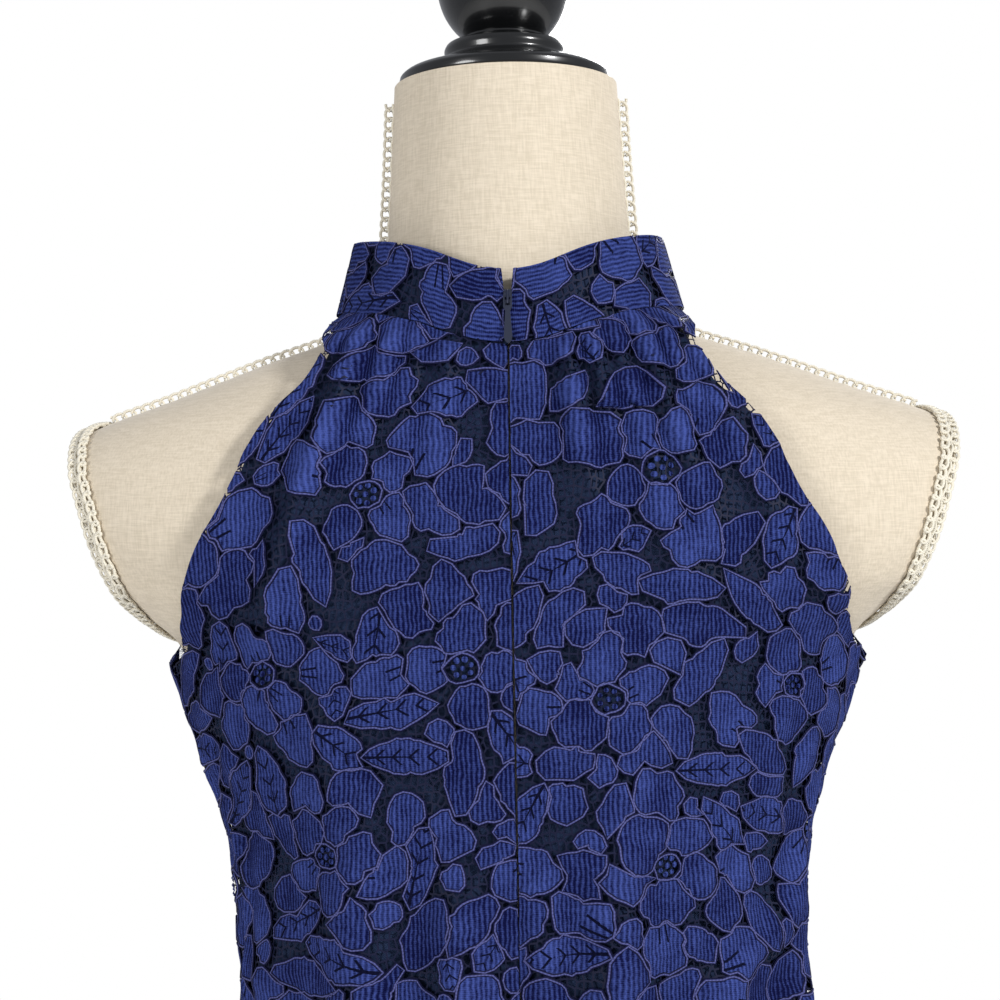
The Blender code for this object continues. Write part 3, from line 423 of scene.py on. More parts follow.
class CollarMap:
    # The collar band: s runs round from the centre back, t up from the seam.

    def __init__(self):
        angles = np.linspace(0, 360, 721)
        middle = 0.5
        x, y, _ = self.raw(angles, np.full(len(angles), middle))
        self.arc = np.concatenate([[0], np.cumsum(np.hypot(np.diff(x), np.diff(y)))])
        self.angles = angles
        self.length = self.arc[-1]
        folded = np.where(angles > 180, 360 - angles, angles)
        self.seam = seamHeight(folded)

    def raw(self, angles, share):
        x = (collarShape["seamX"] + (collarShape["topX"] - collarShape["seamX"]) * share) * np.sin(np.radians(angles))
        y = (collarShape["seamY"] + (collarShape["topY"] - collarShape["seamY"]) * share) * np.cos(np.radians(angles))
        return x, y, share

    def creaseAt(self, s, t):
        return 0 * s

    def clamp(self, s, t, tLow=0.0006, tInset=0.0, **ignored):
        gap = 0.0007 + 0.0018 * np.clip(t / collarShape["height"], 0, 1) ** 2
        s2 = np.clip(s, gap, self.length - gap)
        t2 = np.clip(t, tLow, collarShape["height"] - tInset)
        return s2, t2, (np.abs(s2 - s) > 1e-7) | (np.abs(t2 - t) > 1e-7)

    def lift(self, s, t, height):
        angles = np.interp(s, self.arc, self.angles)
        share = t / collarShape["height"]
        x, y, _ = self.raw(angles, share)
        z = np.interp(angles, self.angles, self.seam) + t
        wave = 0.0006 * np.sin(np.radians(angles) * 5 + 1.0) * share + 0.0004 * np.sin(np.radians(angles) * 11) * share
        nx, ny = np.sin(np.radians(angles)), np.cos(np.radians(angles))
        grow = np.asarray(height) + wave
        return np.stack([x + nx * grow, y + ny * grow, z + 0.24 * np.asarray(height)], axis=-1)


backMap, frontMap, collarMap = ClothMap(False), ClothMap(True), CollarMap()
print("cloth maps made")

# ---- meshes from arrays


def makeMesh(name, points, faces, uv=None, extra=None, shade=None, creaseShade=None, materials=(), slots=None):
    # faces is one array of quads, or of triangles with the last corner doubled as -1
    mesh = bpy.data.meshes.new(name)
    mesh.vertices.add(len(points))
    mesh.vertices.foreach_set("co", np.asarray(points, np.float32).ravel())
    counts = np.where(faces[:, 3] < 0, 3, 4)
    loops = faces.ravel()
    loops = loops[loops >= 0]
    starts = np.concatenate([[0], np.cumsum(counts)[:-1]])
    mesh.loops.add(len(loops))
    mesh.loops.foreach_set("vertex_index", loops.astype(np.int32))
    mesh.polygons.add(len(counts))
    mesh.polygons.foreach_set("loop_start", starts.astype(np.int32))
    mesh.polygons.foreach_set("use_smooth", np.ones(len(counts), bool))
    for layerName, values in (("pattern", uv), ("motif", extra)):
        if values is not None:
            layer = mesh.uv_layers.new(name=layerName)
            layer.data.foreach_set("uv", np.asarray(values, np.float32)[loops].ravel())
    # shade is a random tone for each motif; the second attribute is painted light and shade from the folds' relief
    for layerName, values in (("shade", shade), ("creaseShade", creaseShade)):
        if values is not None:
            attribute = mesh.attributes.new(layerName, "FLOAT", "POINT")
            attribute.data.foreach_set("value", np.asarray(values, np.float32))
    for material in materials:
        mesh.materials.append(material)
    if slots is not None:
        mesh.polygons.foreach_set("material_index", np.asarray(slots, np.int32))
    mesh.update()
    mesh.validate()
    obj = bpy.data.objects.new(name, mesh)
    partSet.objects.link(obj)
    return obj


def gridFaces(rows, columns, offset=0, closed=False):
    j, i = np.meshgrid(np.arange(rows - 1), np.arange(columns if closed else columns - 1), indexing="ij")
    a = j * columns + i
    b = j * columns + (i + 1) % columns
    return np.stack([a, b, b + columns, a + columns], axis=-1).reshape(-1, 4) + offset


def faceOut(obj, centre=(0.0, 0.0)):
    # turns all faces away from the vertical axis through centre
    edit = bmesh.new()
    edit.from_mesh(obj.data)
    score = sum(
        (f.calc_center_median().xy - Vector(centre)).dot(f.normal.xy) * f.calc_area() for f in edit.faces
    )
    if score < 0:
        bmesh.ops.reverse_faces(edit, faces=edit.faces)
    edit.to_mesh(obj.data)
    edit.free()


# ---- materials


def grainNodes(tree, uvName):
    uv = addNode(tree, "ShaderNodeUVMap", {"uv_map": uvName})
    parts = addNode(tree, "ShaderNodeSeparateXYZ", links={0: uv.outputs[0]})
    return uv, parts


def sineOf(tree, socket, wavelength, phaseSocket=None, phaseScale=1.0):
    turns = addNode(tree, "ShaderNodeMath", {"operation": "MULTIPLY", 1: 2 * math.pi / wavelength}, {0: socket})
    last = turns
    if phaseSocket is not None:
        last = addNode(tree, "ShaderNodeMath", {"operation": "MULTIPLY_ADD", 1: phaseScale},
                       {0: phaseSocket, 2: turns.outputs[0]})
    return addNode(tree, "ShaderNodeMath", {"operation": "SINE"}, {0: last.outputs[0]})


# the lit fill and cord colours and their painted shade: the dark fill colour is also dark random tone, the dark cord
# colour is painted shadow beside the cord, and the slit colour is partly painted shade
laceLook = {
    "fillShadeAndDeepTone": "070b38", "fillLit": "44549c", "slit": "080b26", "cordShadow": "0b0e30", "cordLit": "585c94", "net": "0d1230",
    "lining": "202c46",
    "ribSpacing": 1.85 * millimetre, "weftSpacing": 0.75 * millimetre,
    "cellWidth": 3.0 * millimetre, "cellHeight": 3.8 * millimetre,
}


def ribbedFill(name, across, kind=""):
    # lace filling: dense cotton and nylon yarn woven in ribs, matt with a soft bloom; the deep grooves
    # between the ribs get painted shade, and random tone is added, which make the cloth look dark and soft
    material, tree, shader = newMaterial(name, laceLook["fillLit"], 0.8, Sheen_Weight=0.08, Sheen_Roughness=0.4, Specular_IOR_Level=0.06)
    shader.inputs["Sheen Tint"].default_value = linear("6f7fe0")
    uv, parts = grainNodes(tree, "pattern")
    wander = addNode(tree, "ShaderNodeTexNoise", {"Scale": 130.0, "Detail": 2.0, "Roughness": 0.55}, {0: uv.outputs[0]})
    ribAxis, weftAxis = (parts.outputs[0], parts.outputs[1]) if across == "s" else (parts.outputs[1], parts.outputs[0])
    rib = sineOf(tree, ribAxis, laceLook["ribSpacing"], wander.outputs[0], 8.0)
    weft = sineOf(tree, weftAxis, laceLook["weftSpacing"], wander.outputs[0], 16.0)
    fuzz = addNode(tree, "ShaderNodeTexNoise", {"Scale": 1700.0, "Detail": 3.0}, {0: uv.outputs[0]})
    patch = addNode(tree, "ShaderNodeTexNoise", {"Scale": 75.0, "Detail": 4.0}, {0: uv.outputs[0]})
    tint = addNode(tree, "ShaderNodeAttribute", {"attribute_name": "shade"})
    # painted light and shade: this attribute draws the fill lighter on fold ridges and darker in the furrows between
    # them
    creaseShade = addNode(tree, "ShaderNodeAttribute", {"attribute_name": "creaseShade"})  # ridges catch more light than furrows
    crepe = addNode(tree, "ShaderNodeTexNoise", {"Scale": 620.0, "Detail": 2.0}, {0: uv.outputs[0]})
    # painted shade: the rib wave darkens the colour in the grooves between ribs; the noises and the shade attribute add
    # random tone
    tone = addNode(tree, "ShaderNodeMath", {"operation": "MULTIPLY_ADD", 1: 0.30, 2: -0.80}, {0: rib.outputs[0]})
    for socket, amount in ((weft.outputs[0], 0.10), (fuzz.outputs[0], 0.7), (crepe.outputs[0], 0.85), (patch.outputs[0], 0.80),
                           (tint.outputs["Fac"], 0.34), (creaseShade.outputs["Fac"], 0.10)):
        tone = addNode(tree, "ShaderNodeMath", {"operation": "MULTIPLY_ADD", 1: amount}, {0: socket, 2: tone.outputs[0]})
    # the ramp runs from the dark end, painted shade and dark random tone, to the lit colour
    ramp = addNode(tree, "ShaderNodeValToRGB", links={0: tone.outputs[0]})
    ramp.color_ramp.elements[0].color = linear(laceLook["fillShadeAndDeepTone"])
    ramp.color_ramp.elements[1].color = linear(laceLook["fillLit"])
    colour = ramp.outputs[0]
    height = addNode(tree, "ShaderNodeMath", {"operation": "MULTIPLY_ADD", 1: 0.35}, {0: weft.outputs[0], 2: rib.outputs[0]})
    height = addNode(tree, "ShaderNodeMath", {"operation": "MULTIPLY_ADD", 1: 1.2}, {0: fuzz.outputs[0], 2: height.outputs[0]})
    if kind:
        # openings in the filling, in the motif's own length and width: a midrib and slanting slits in a
        # leaf, and two short slits from the foot of a petal; they are painted in a dark colour that stands for the
        # lining behind them and, in part, painted shade
        _, own = grainNodes(tree, "motif")
        along = own.outputs[0]
        width = addNode(tree, "ShaderNodeMath", {"operation": "ABSOLUTE"}, {0: own.outputs[1]})
        ragged = addNode(tree, "ShaderNodeMath", {"operation": "MULTIPLY_ADD", 1: 0.08, 2: -0.04}, {0: fuzz.outputs[0]})
        width = addNode(tree, "ShaderNodeMath", {"operation": "ADD"}, {0: width.outputs[0], 1: ragged.outputs[0]})
        if kind == "leaf":
            taper = addNode(tree, "ShaderNodeMapRange", {"From Min": -0.8, "From Max": 0.7, "To Min": 0.085, "To Max": -0.02}, {0: along})
            midrib = addNode(tree, "ShaderNodeMath", {"operation": "LESS_THAN"}, {0: width.outputs[0], 1: taper.outputs[0]})
            slant = addNode(tree, "ShaderNodeMath", {"operation": "MULTIPLY_ADD", 1: -0.45}, {0: width.outputs[0], 2: along})
            slit = sineOf(tree, slant.outputs[0], 0.36)
            narrow = addNode(tree, "ShaderNodeMath", {"operation": "GREATER_THAN", 1: 0.84}, {0: slit.outputs[0]})
            near = addNode(tree, "ShaderNodeMath", {"operation": "LESS_THAN", 1: 0.42}, {0: width.outputs[0]})
            side = addNode(tree, "ShaderNodeMath", {"operation": "MULTIPLY"}, {0: narrow.outputs[0], 1: near.outputs[0]})
            least = 0.05
        else:
            beside = addNode(tree, "ShaderNodeMath", {"operation": "MULTIPLY_ADD", 1: -0.16, 2: -0.24}, {0: along})
            beside = addNode(tree, "ShaderNodeMath", {"operation": "ADD"}, {0: width.outputs[0], 1: beside.outputs[0]})
            offLine = addNode(tree, "ShaderNodeMath", {"operation": "ABSOLUTE"}, {0: beside.outputs[0]})
            midrib = addNode(tree, "ShaderNodeMath", {"operation": "LESS_THAN", 1: 0.0}, {0: offLine.outputs[0]})
            thin = addNode(tree, "ShaderNodeMath", {"operation": "LESS_THAN", 1: 0.045}, {0: offLine.outputs[0]})
            foot = addNode(tree, "ShaderNodeMath", {"operation": "LESS_THAN", 1: -0.12}, {0: along})
            side = addNode(tree, "ShaderNodeMath", {"operation": "MULTIPLY"}, {0: thin.outputs[0], 1: foot.outputs[0]})
            least = 0.25
        some = addNode(tree, "ShaderNodeMath", {"operation": "GREATER_THAN", 1: least}, {0: tint.outputs["Fac"]})
        either = addNode(tree, "ShaderNodeMath", {"operation": "MAXIMUM"}, {0: midrib.outputs[0], 1: side.outputs[0]})
        vein = addNode(tree, "ShaderNodeMath", {"operation": "MULTIPLY"}, {0: either.outputs[0], 1: some.outputs[0]})
        dark = addNode(tree, "ShaderNodeMix", {"data_type": "RGBA"}, {0: vein.outputs[0], 6: colour})
        dark.inputs[7].default_value = linear(laceLook["slit"])
        colour = dark.outputs[2]
        height = addNode(tree, "ShaderNodeMath", {"operation": "MULTIPLY_ADD", 1: -3.0}, {0: vein.outputs[0], 2: height.outputs[0]})
    tree.links.new(colour, shader.inputs["Base Color"])
    bump = addNode(tree, "ShaderNodeBump", {"Strength": 1.0, "Distance": 0.22 * millimetre}, {"Height": height.outputs[0]})
    tree.links.new(bump.outputs[0], shader.inputs["Normal"])
    return material


def cordMaterial():
    # gimp cord that outlines the motifs: rayon wrapped round a core, a thin pale line, with painted shadow
    # on each side of it where it lies in its stitched furrow
    material, tree, shader = newMaterial("wrappedRayonCord", laceLook["cordLit"], 0.6, Specular_IOR_Level=0.1)
    uv, parts = grainNodes(tree, "pattern")
    twist = sineOf(tree, parts.outputs[0], 1.3 * millimetre)
    aside = addNode(tree, "ShaderNodeMath", {"operation": "ABSOLUTE"}, {0: parts.outputs[1]})
    # painted shadow: outside a narrow middle band the colour turns to the cord's shadow colour; the twist adds darker
    # stripes along it
    line = addNode(tree, "ShaderNodeMapRange", {"From Min": 0.00020, "From Max": 0.00036, "To Min": 1.0, "To Max": 0.0},
                   {0: aside.outputs[0]})
    tone = addNode(tree, "ShaderNodeMath", {"operation": "MULTIPLY_ADD", 1: 0.18, 2: 0.82}, {0: twist.outputs[0]})
    tone = addNode(tree, "ShaderNodeMath", {"operation": "MULTIPLY"}, {0: tone.outputs[0], 1: line.outputs[0]})
    mixNode = addNode(tree, "ShaderNodeMix", {"data_type": "RGBA"}, {0: tone.outputs[0]})
    mixNode.inputs[6].default_value = linear(laceLook["cordShadow"])
    mixNode.inputs[7].default_value = linear(laceLook["cordLit"])
    tree.links.new(mixNode.outputs[2], shader.inputs["Base Color"])
    bump = addNode(tree, "ShaderNodeBump", {"Strength": 0.6, "Distance": 0.1 * millimetre}, {"Height": twist.outputs[0]})
    tree.links.new(bump.outputs[0], shader.inputs["Normal"])
    return material


def netMaterial():
    # the lace's ground: fine nylon net, open cells between thin twisted threads
    material, tree, shader = newMaterial("nylonNetGround", laceLook["net"], 0.6, Specular_IOR_Level=0.2)
    uv = addNode(tree, "ShaderNodeUVMap", {"uv_map": "pattern"})
    squash = addNode(tree, "ShaderNodeMapping", {"Scale": (1 / laceLook["cellWidth"], 1 / laceLook["cellHeight"], 1.0)}, {0: uv.outputs[0]})
    cells = addNode(tree, "ShaderNodeTexVoronoi", {"feature": "DISTANCE_TO_EDGE", "voronoi_dimensions": "2D", "Scale": 1.0,
                                                   "Randomness": 0.7}, {0: squash.outputs[0]})
    thread = addNode(tree, "ShaderNodeMath", {"operation": "LESS_THAN", 1: 0.10}, {0: cells.outputs["Distance"]})
    tree.links.new(thread.outputs[0], shader.inputs["Alpha"])
    return material


def liningMaterial():
    # acetate lining, plain woven: dark, smooth, with a faint thread
    material, tree, shader = newMaterial("wovenAcetateLining", laceLook["lining"], 0.7, Specular_IOR_Level=0.08)
    uv, parts = grainNodes(tree, "pattern")
    warp = sineOf(tree, parts.outputs[0], 0.9 * millimetre)
    weft = sineOf(tree, parts.outputs[1], 0.9 * millimetre)
    both = addNode(tree, "ShaderNodeMath", {"operation": "MULTIPLY"}, {0: warp.outputs[0], 1: weft.outputs[0]})
    bump = addNode(tree, "ShaderNodeBump", {"Strength": 0.35, "Distance": 0.06 * millimetre}, {"Height": both.outputs[0]})
    tree.links.new(bump.outputs[0], shader.inputs["Normal"])
    return material


ribFill, ribFillLevel = ribbedFill("ribbedLaceFillUpright", "s"), ribbedFill("ribbedLaceFillLevel", "t")
leafFill, leafFillLevel = ribbedFill("ribbedLaceLeafUpright", "s", "leaf"), ribbedFill("ribbedLaceLeafLevel", "t", "leaf")
petalFill, petalFillLevel = ribbedFill("ribbedLacePetalUpright", "s", "petal"), ribbedFill("ribbedLacePetalLevel", "t", "petal")
cordLook, netLook, liningLook = cordMaterial(), netMaterial(), liningMaterial()

# ---- the lace's motifs, laid out in the flat pattern in millimetres

motifPlan = {
    "flowerSpacing": 84.0, "leafTries": 900, "petalTries": 1300, "fillerTries": 2000, "berryTries": 500,
    "cordStep": 2.3, "cordWidth": 1.7, "cordHeight": 0.55, "wiggle": 0.45,
}
rayCount = 64
rayAngles = np.arange(rayCount) * math.tau / rayCount
heart, petal, leaf, berry = 3, 0, 1, 2


def ownReach(draw, kind, turn, length, wide):
    # how far a motif's own edge lies from its middle, in each direction
    way = rayAngles - turn
    along, aside = np.cos(way), np.abs(np.sin(way))
    if kind == leaf:
        straight, square = aside / wide, (along / length) ** 2
        reach = 2 / (straight + np.sqrt(straight**2 + 4 * square))
        return reach * (1 - 0.09 * np.abs(np.sin(draw.uniform(4.0, 6.0) * way)) ** 0.5 * softStep(0.1, 0.5, aside))
    oval = 1 / np.sqrt((along / length) ** 2 + (aside / wide) ** 2)
    if kind == petal:
        outside = softStep(-0.45, 0.35, along)
        ruffle = np.abs(np.sin(draw.uniform(2.0, 3.6) * way + draw.uniform(0, math.pi))) ** 0.55
        oval = oval * (1 - draw.uniform(0.10, 0.30) * outside * (1 - ruffle)) * (1 - 0.16 * softStep(0.2, 1.0, -along))
        return oval * (1 + 0.09 * np.sin(2 * way + draw.uniform(0, 6)) + 0.06 * np.sin(3 * way + draw.uniform(0, 6))
                       + 0.04 * np.sin(7 * way + draw.uniform(0, 6)))
    return oval


class MotifPlan:
    # motifs placed one after another; each later one is cut where it would lie over an earlier one

    def __init__(self, room):
        self.count = 0
        self.places = np.zeros((room, 6))
        self.reaches = np.zeros((room, rayCount + 1))

    def near(self, x, y, reach):
        away = np.hypot(self.places[:self.count, 0] - x, self.places[:self.count, 1] - y)
        return np.nonzero(away < reach + self.places[:self.count, 5])[0]

    def edgeTowards(self, which, dx, dy):
        at = (np.arctan2(dy, dx) % math.tau) / math.tau * rayCount
        low = np.minimum(at.astype(int), rayCount - 1)
        part = at - low
        return self.reaches[which, low] * (1 - part) + self.reaches[which, low + 1] * part

    def roomAt(self, x, y, reach=16.0):
        which = self.near(x, y, reach)
        if not len(which):
            return reach
        dx, dy = x - self.places[which, 0], y - self.places[which, 1]
        return float((np.hypot(dx, dy) - self.edgeTowards(which, dx, dy)).min())

    def cut(self, x, y, own, gap):
        which = self.near(x, y, own.max() + gap)
        if not len(which):
            return own
        steps = np.linspace(0.06, 1.0, 30)
        radius = own[:, None] * steps
        px, py = x + radius * np.cos(rayAngles)[:, None], y + radius * np.sin(rayAngles)[:, None]
        dx, dy = px[None] - self.places[which, 0, None, None], py[None] - self.places[which, 1, None, None]
        pick = np.broadcast_to(which[:, None, None], dx.shape)
        hit = (np.hypot(dx, dy) < self.edgeTowards(pick, dx, dy) + gap).any(axis=0)
        first = np.where(hit.any(axis=1), np.argmax(hit, axis=1), len(steps))
        reach = own * np.where(first == 0, 0.02, steps[np.clip(first - 1, 0, len(steps) - 1)])
        return 0.22 * np.roll(reach, 1) + 0.56 * reach + 0.22 * np.roll(reach, -1)

    def add(self, draw, kind, x, y, turn, length, wide, gap, least=0.0):
        own = ownReach(draw, kind, turn, length, wide)
        reach = self.cut(x, y, own, gap)
        if (reach**2).sum() < least * (own**2).sum() or reach.mean() < 1.9:
            return False
        self.places[self.count] = (x, y, turn, length, wide, reach.max())
        self.reaches[self.count] = np.append(reach, reach[0])
        self.kinds.append(kind)
        self.count += 1
        return True


def planMotifs(width, height, seed, low=0.0, skirtSides=()):
    # roses with two rings of ruffled petals, sprays of leaves, loose petals, and berries between;
    # skirtSides are the strips that the flare adds beyond the width, filled last
    draw = np.random.default_rng(seed)
    plan = MotifPlan(6000)
    plan.kinds = []
    space = motifPlan["flowerSpacing"]
    roses = []
    for row in range(int(height / (space * 0.9)) + 3):
        for column in range(int(width / space) + 3):
            x = low + (column - 0.7 + 0.5 * (row % 2)) * space + draw.uniform(-13, 13)
            y = (row - 0.4) * space * 0.9 + draw.uniform(-13, 13)
            roses.append((x, y, draw.uniform(0.82, 1.15)))
    for x, y, size in roses:
        core = draw.uniform(5.6, 7.4) * size
        plan.add(draw, heart, x, y, 0.0, core, core * 0.85, 0.5)
        first = draw.uniform(0, math.tau)
        inner = int(draw.integers(4, 7))
        for k in range(inner):
            a = first + math.tau * k / inner + draw.uniform(-0.3, 0.3)
            r = core + draw.uniform(5.0, 9.0) * size
            plan.add(draw, petal, x + r * math.cos(a), y + r * math.sin(a), a + draw.uniform(-0.3, 0.3),
                     draw.uniform(9.0, 13.0) * size, draw.uniform(7.0, 12.0) * size, 0.75, 0.30)
    for x, y, size in roses:
        outer = int(draw.integers(6, 9))
        first = draw.uniform(0, math.tau)
        for k in range(outer):
            if draw.random() < 0.16:
                continue
            a = first + math.tau * k / outer + draw.uniform(-0.25, 0.25)
            r = draw.uniform(23.0, 31.0) * size
            plan.add(draw, petal, x + r * math.cos(a), y + r * math.sin(a), a + draw.uniform(-0.5, 0.5),
                     draw.uniform(12.0, 18.0) * size, draw.uniform(8.0, 13.0) * size, 0.9, 0.35)
    for start, stop in [(low, low + width), *skirtSides]:
        share = (stop - start) * (height + 60) / (230 * 950)
        for tries, lengths, widths, kind, gap, least in (
            (motifPlan["leafTries"], (16, 22), (6.5, 9.5), leaf, 1.0, 0.62),
            (motifPlan["petalTries"], (10, 15), (8, 12), petal, 1.1, 0.50),
            (motifPlan["leafTries"], (10, 15), (4.5, 7.0), leaf, 1.0, 0.62),
            (motifPlan["fillerTries"], (5.5, 9.0), (4.5, 7.0), petal, 1.1, 0.55),
            (motifPlan["berryTries"], (2.7, 3.3), (2.5, 3.0), berry, 0.9, 0.86),
        ):
            for _ in range(int(tries * share)):
                x, y = draw.uniform(start - 8, stop + 8), draw.uniform(-12, height + 12)
                if plan.roomAt(x, y) > widths[0] * 0.45:
                    turn, long, wide = draw.uniform(0, math.tau), draw.uniform(*lengths), draw.uniform(*widths)
                    plan.add(draw, kind, x, y, turn, long, wide, gap, least)
    return plan


def ringOf(reach, count):
    turn = np.arange(count) * math.tau / count
    return turn, np.interp(turn, np.append(rayAngles, math.tau), reach)


def buildMotifs(name, clothMap, plan, seed, fillMaterials, flip=1.0, coarser=1.0):
    # the filled motifs as one mesh, and the cords round them as another
    draw = np.random.default_rng(seed)
    base = 0.75 * millimetre
    points, heights, faces, local, shade, slots, rings = [], [], [], [], [], [], []
    total = 0
    for (x, y, a, length, wide, _), reach, kind in zip(plan.places, plan.reaches, plan.kinds):
        count = max(9, int(math.tau * reach.mean() / (motifPlan["cordStep"] * coarser)))
        turn, r = ringOf(reach, count)
        wiggle = draw.normal(0, motifPlan["wiggle"], count)
        r = r + (wiggle + 0.5 * np.roll(wiggle, 1)) * (0.4 if kind == berry else 1.0)
        cx, cy = np.cos(turn), np.sin(turn)
        edge = np.stack([x + r * cx, y + r * cy], axis=-1)
        rings.append(edge)
        tint = draw.uniform(-0.5, 0.5)
        if kind == heart:
            # the heart of a rose: a cluster of pebbles on open net
            middle = reach.mean()
            spots = [(0.0, 0.0)] + [(0.58 * middle * math.cos(q), 0.58 * middle * math.sin(q))
                                    for q in np.arange(7) * math.tau / 7 + draw.uniform(0, 1)]
            for qx, qy in spots:
                small, ring = draw.uniform(1.0, 1.35), np.arange(8) * math.tau / 8
                p = np.stack([x + qx + small * np.cos(ring), y + qy + small * np.sin(ring)], axis=-1)
                points.append(np.vstack([[[x + qx, y + qy]], p]))
                heights.append(np.append(1.05, np.full(8, 0.30)))
                fan = np.stack([np.zeros(8, int), 1 + np.arange(8), 1 + (np.arange(8) + 1) % 8, np.full(8, -1)], axis=-1)
                faces.append(np.where(fan >= 0, fan + total, -1))
                local.append(np.zeros((9, 2)))
                shade.append(np.full(9, tint))
                slots.append(np.zeros(8, int))
                total += 9
            continue
        parts, lifts = [edge], [np.full(count, 0.25)]
        inner = ((0.86, 0.50), (0.64, 0.58), (0.42, 0.60), (0.20, 0.60)) if length > 9 else ((0.84, 0.52), (0.45, 0.60))
        for part, rise in inner:
            parts.append(np.stack([x + r * part * cx, y + r * part * cy], axis=-1))
            lifts.append(np.full(count, rise + (0.3 if kind == berry else 0.0)))
        allPoints = np.vstack(parts + [[[x, y]]])
        points.append(allPoints)
        heights.append(np.concatenate(lifts + [[0.95 if kind == berry else 0.58]]))
        k = np.arange(count)
        nxt = (k + 1) % count
        quads = [np.stack([q * count + k, q * count + nxt, (q + 1) * count + nxt, (q + 1) * count + k], axis=-1) for q in range(len(inner))]
        last = len(inner) * count
        fan = np.stack([last + k, last + nxt, np.full(count, last + count), np.full(count, -1)], axis=-1)
        block = np.vstack(quads + [fan])
        faces.append(np.where(block >= 0, block + total, -1))
        dx, dy = allPoints[:, 0] - x, allPoints[:, 1] - y
        local.append(np.stack([(dx * math.cos(a) + dy * math.sin(a)) / length,
                               (dy * math.cos(a) - dx * math.sin(a)) / wide], axis=-1))
        shade.append(np.full(len(allPoints), tint))
        slots.append(np.full(len(block), {leaf: 1, berry: 0}.get(kind, 2 if length > 8 else 0)))
        total += len(allPoints)
    scale = np.array([flip, 1.0]) * millimetre
    points, heights = np.vstack(points) * scale, np.concatenate(heights) * millimetre
    faces, local, shade, slots = np.vstack(faces), np.vstack(local), np.concatenate(shade), np.concatenate(slots)
    s, t, moved = clothMap.clamp(points[:, 0], points[:, 1])
    outside = np.where(faces >= 0, moved[np.maximum(faces, 0)], True).all(axis=1)
    faces, slots = faces[~outside], slots[~outside]
    used, remap = np.unique(faces[faces >= 0]), np.full(len(points), -1)
    remap[used] = np.arange(len(used))
    faces = np.where(faces >= 0, remap[np.maximum(faces, 0)], -1)
    # the fills carry the folds' relief as an attribute for painted light and shade
    fills = makeMesh(name + "_motifs", clothMap.lift(s[used], t[used], base + heights[used]), faces,
                     np.stack([s, t], axis=-1)[used], local[used], shade[used], clothMap.creaseAt(s, t)[used],
                     fillMaterials, slots)
    half, tall = motifPlan["cordWidth"] / 2, motifPlan["cordHeight"]
    profile = [(-half, 0.1), (-half * 0.32, tall), (half * 0.32, tall), (half, 0.1)]
    points, heights, faces, uv, total = [], [], [], [], 0
    for edge in rings:
        count = len(edge)
        out = clothMap.clamp(edge[:, 0] * scale[0], edge[:, 1] * scale[1])[2]
        if out.all():
            continue
        run = np.roll(edge, -1, axis=0) - np.roll(edge, 1, axis=0)
        run /= np.maximum(np.linalg.norm(run, axis=1, keepdims=True), 1e-9)
        across = np.stack([run[:, 1], -run[:, 0]], axis=-1)
        along = np.append(0, np.cumsum(np.linalg.norm(np.diff(edge, axis=0), axis=1)))
        for shift, rise in profile:
            points.append(edge + across * shift)
            heights.append(np.full(count, 0.20 + rise))
            uv.append(np.stack([along * millimetre, np.full(count, shift * millimetre)], axis=-1))
        k = np.nonzero(~(out & np.roll(out, -1)))[0]
        nxt = (k + 1) % count
        for strip in range(3):
            a, b = total + strip * count, total + (strip + 1) * count
            faces.append(np.stack([a + k, b + k, b + nxt, a + nxt], axis=-1))
        total += 4 * count
    points, faces = np.vstack(points) * scale, np.vstack(faces)
    s, t, _ = clothMap.clamp(points[:, 0], points[:, 1])
    used, remap = np.unique(faces), np.full(len(points), -1)
    remap[used] = np.arange(len(used))
    lifts = base + np.concatenate(heights) * millimetre
    cords = makeMesh(name + "_cords", clothMap.lift(s[used], t[used], lifts[used]), remap[faces],
                     np.vstack(uv)[used], materials=[cordLook])
    for piece in (fills, cords):
        faceOut(piece)
    print(name, "motifs", plan.count, "triangles", [sum(len(q.vertices) - 2 for q in o.data.polygons) for o in (fills, cords)])
    return fills, cords


def clothShell(name, clothMap, material, sLow, sHigh, columns, rowStep, height, tLow=0.0, sInset=0.0, tInset=0.0):
    # a thin sheet over the panel, its rows following the cut at both edges
    top = clothMap.tMax.max() if hasattr(clothMap, "tMax") else collarShape["height"]
    rows = np.arange(tLow, top + rowStep, rowStep)
    across = np.linspace(0, 1, columns + 1)
    s, t = [], []
    for row in rows:
        if hasattr(clothMap, "sMax"):
            reach = float(np.interp(row, clothMap.t, clothMap.sMax)) + sInset / 2
            left = -reach if sLow is None else sLow
            s.append(left + (reach - left) * across)
        else:
            s.append(sLow + (sHigh - sLow) * across)
        t.append(np.full(columns + 1, row))
    s, t = np.concatenate(s), np.concatenate(t)
    s, t, _ = clothMap.clamp(s, t, tLow=tLow, sInset=sInset, tInset=tInset)
    points = clothMap.lift(s, t, np.full(len(s), height))
    faces = gridFaces(len(rows), columns + 1)
    a, b, c, d = (points[faces[:, q]] for q in range(4))
    area = np.linalg.norm(np.cross(c - a, d - b), axis=1)
    obj = makeMesh(name, points, faces[area > 2e-9], np.stack([s, t], axis=-1), materials=[material])
    faceOut(obj)
    return obj


def areaOf(obj):
    edit = bmesh.new()
    edit.from_mesh(obj.data)
    area = sum(f.calc_area() for f in edit.faces)
    edit.free()
    return area


def declareCloth(obj, node, withPieces):
    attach(obj, dressBody)
    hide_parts(node)
    for piece in withPieces:
        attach(piece, dressBody)
        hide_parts(node)


layerHeight = {"net": 0.5 * millimetre, "lining": -1.6 * millimetre}
backHigh = backMap.tMax.max()

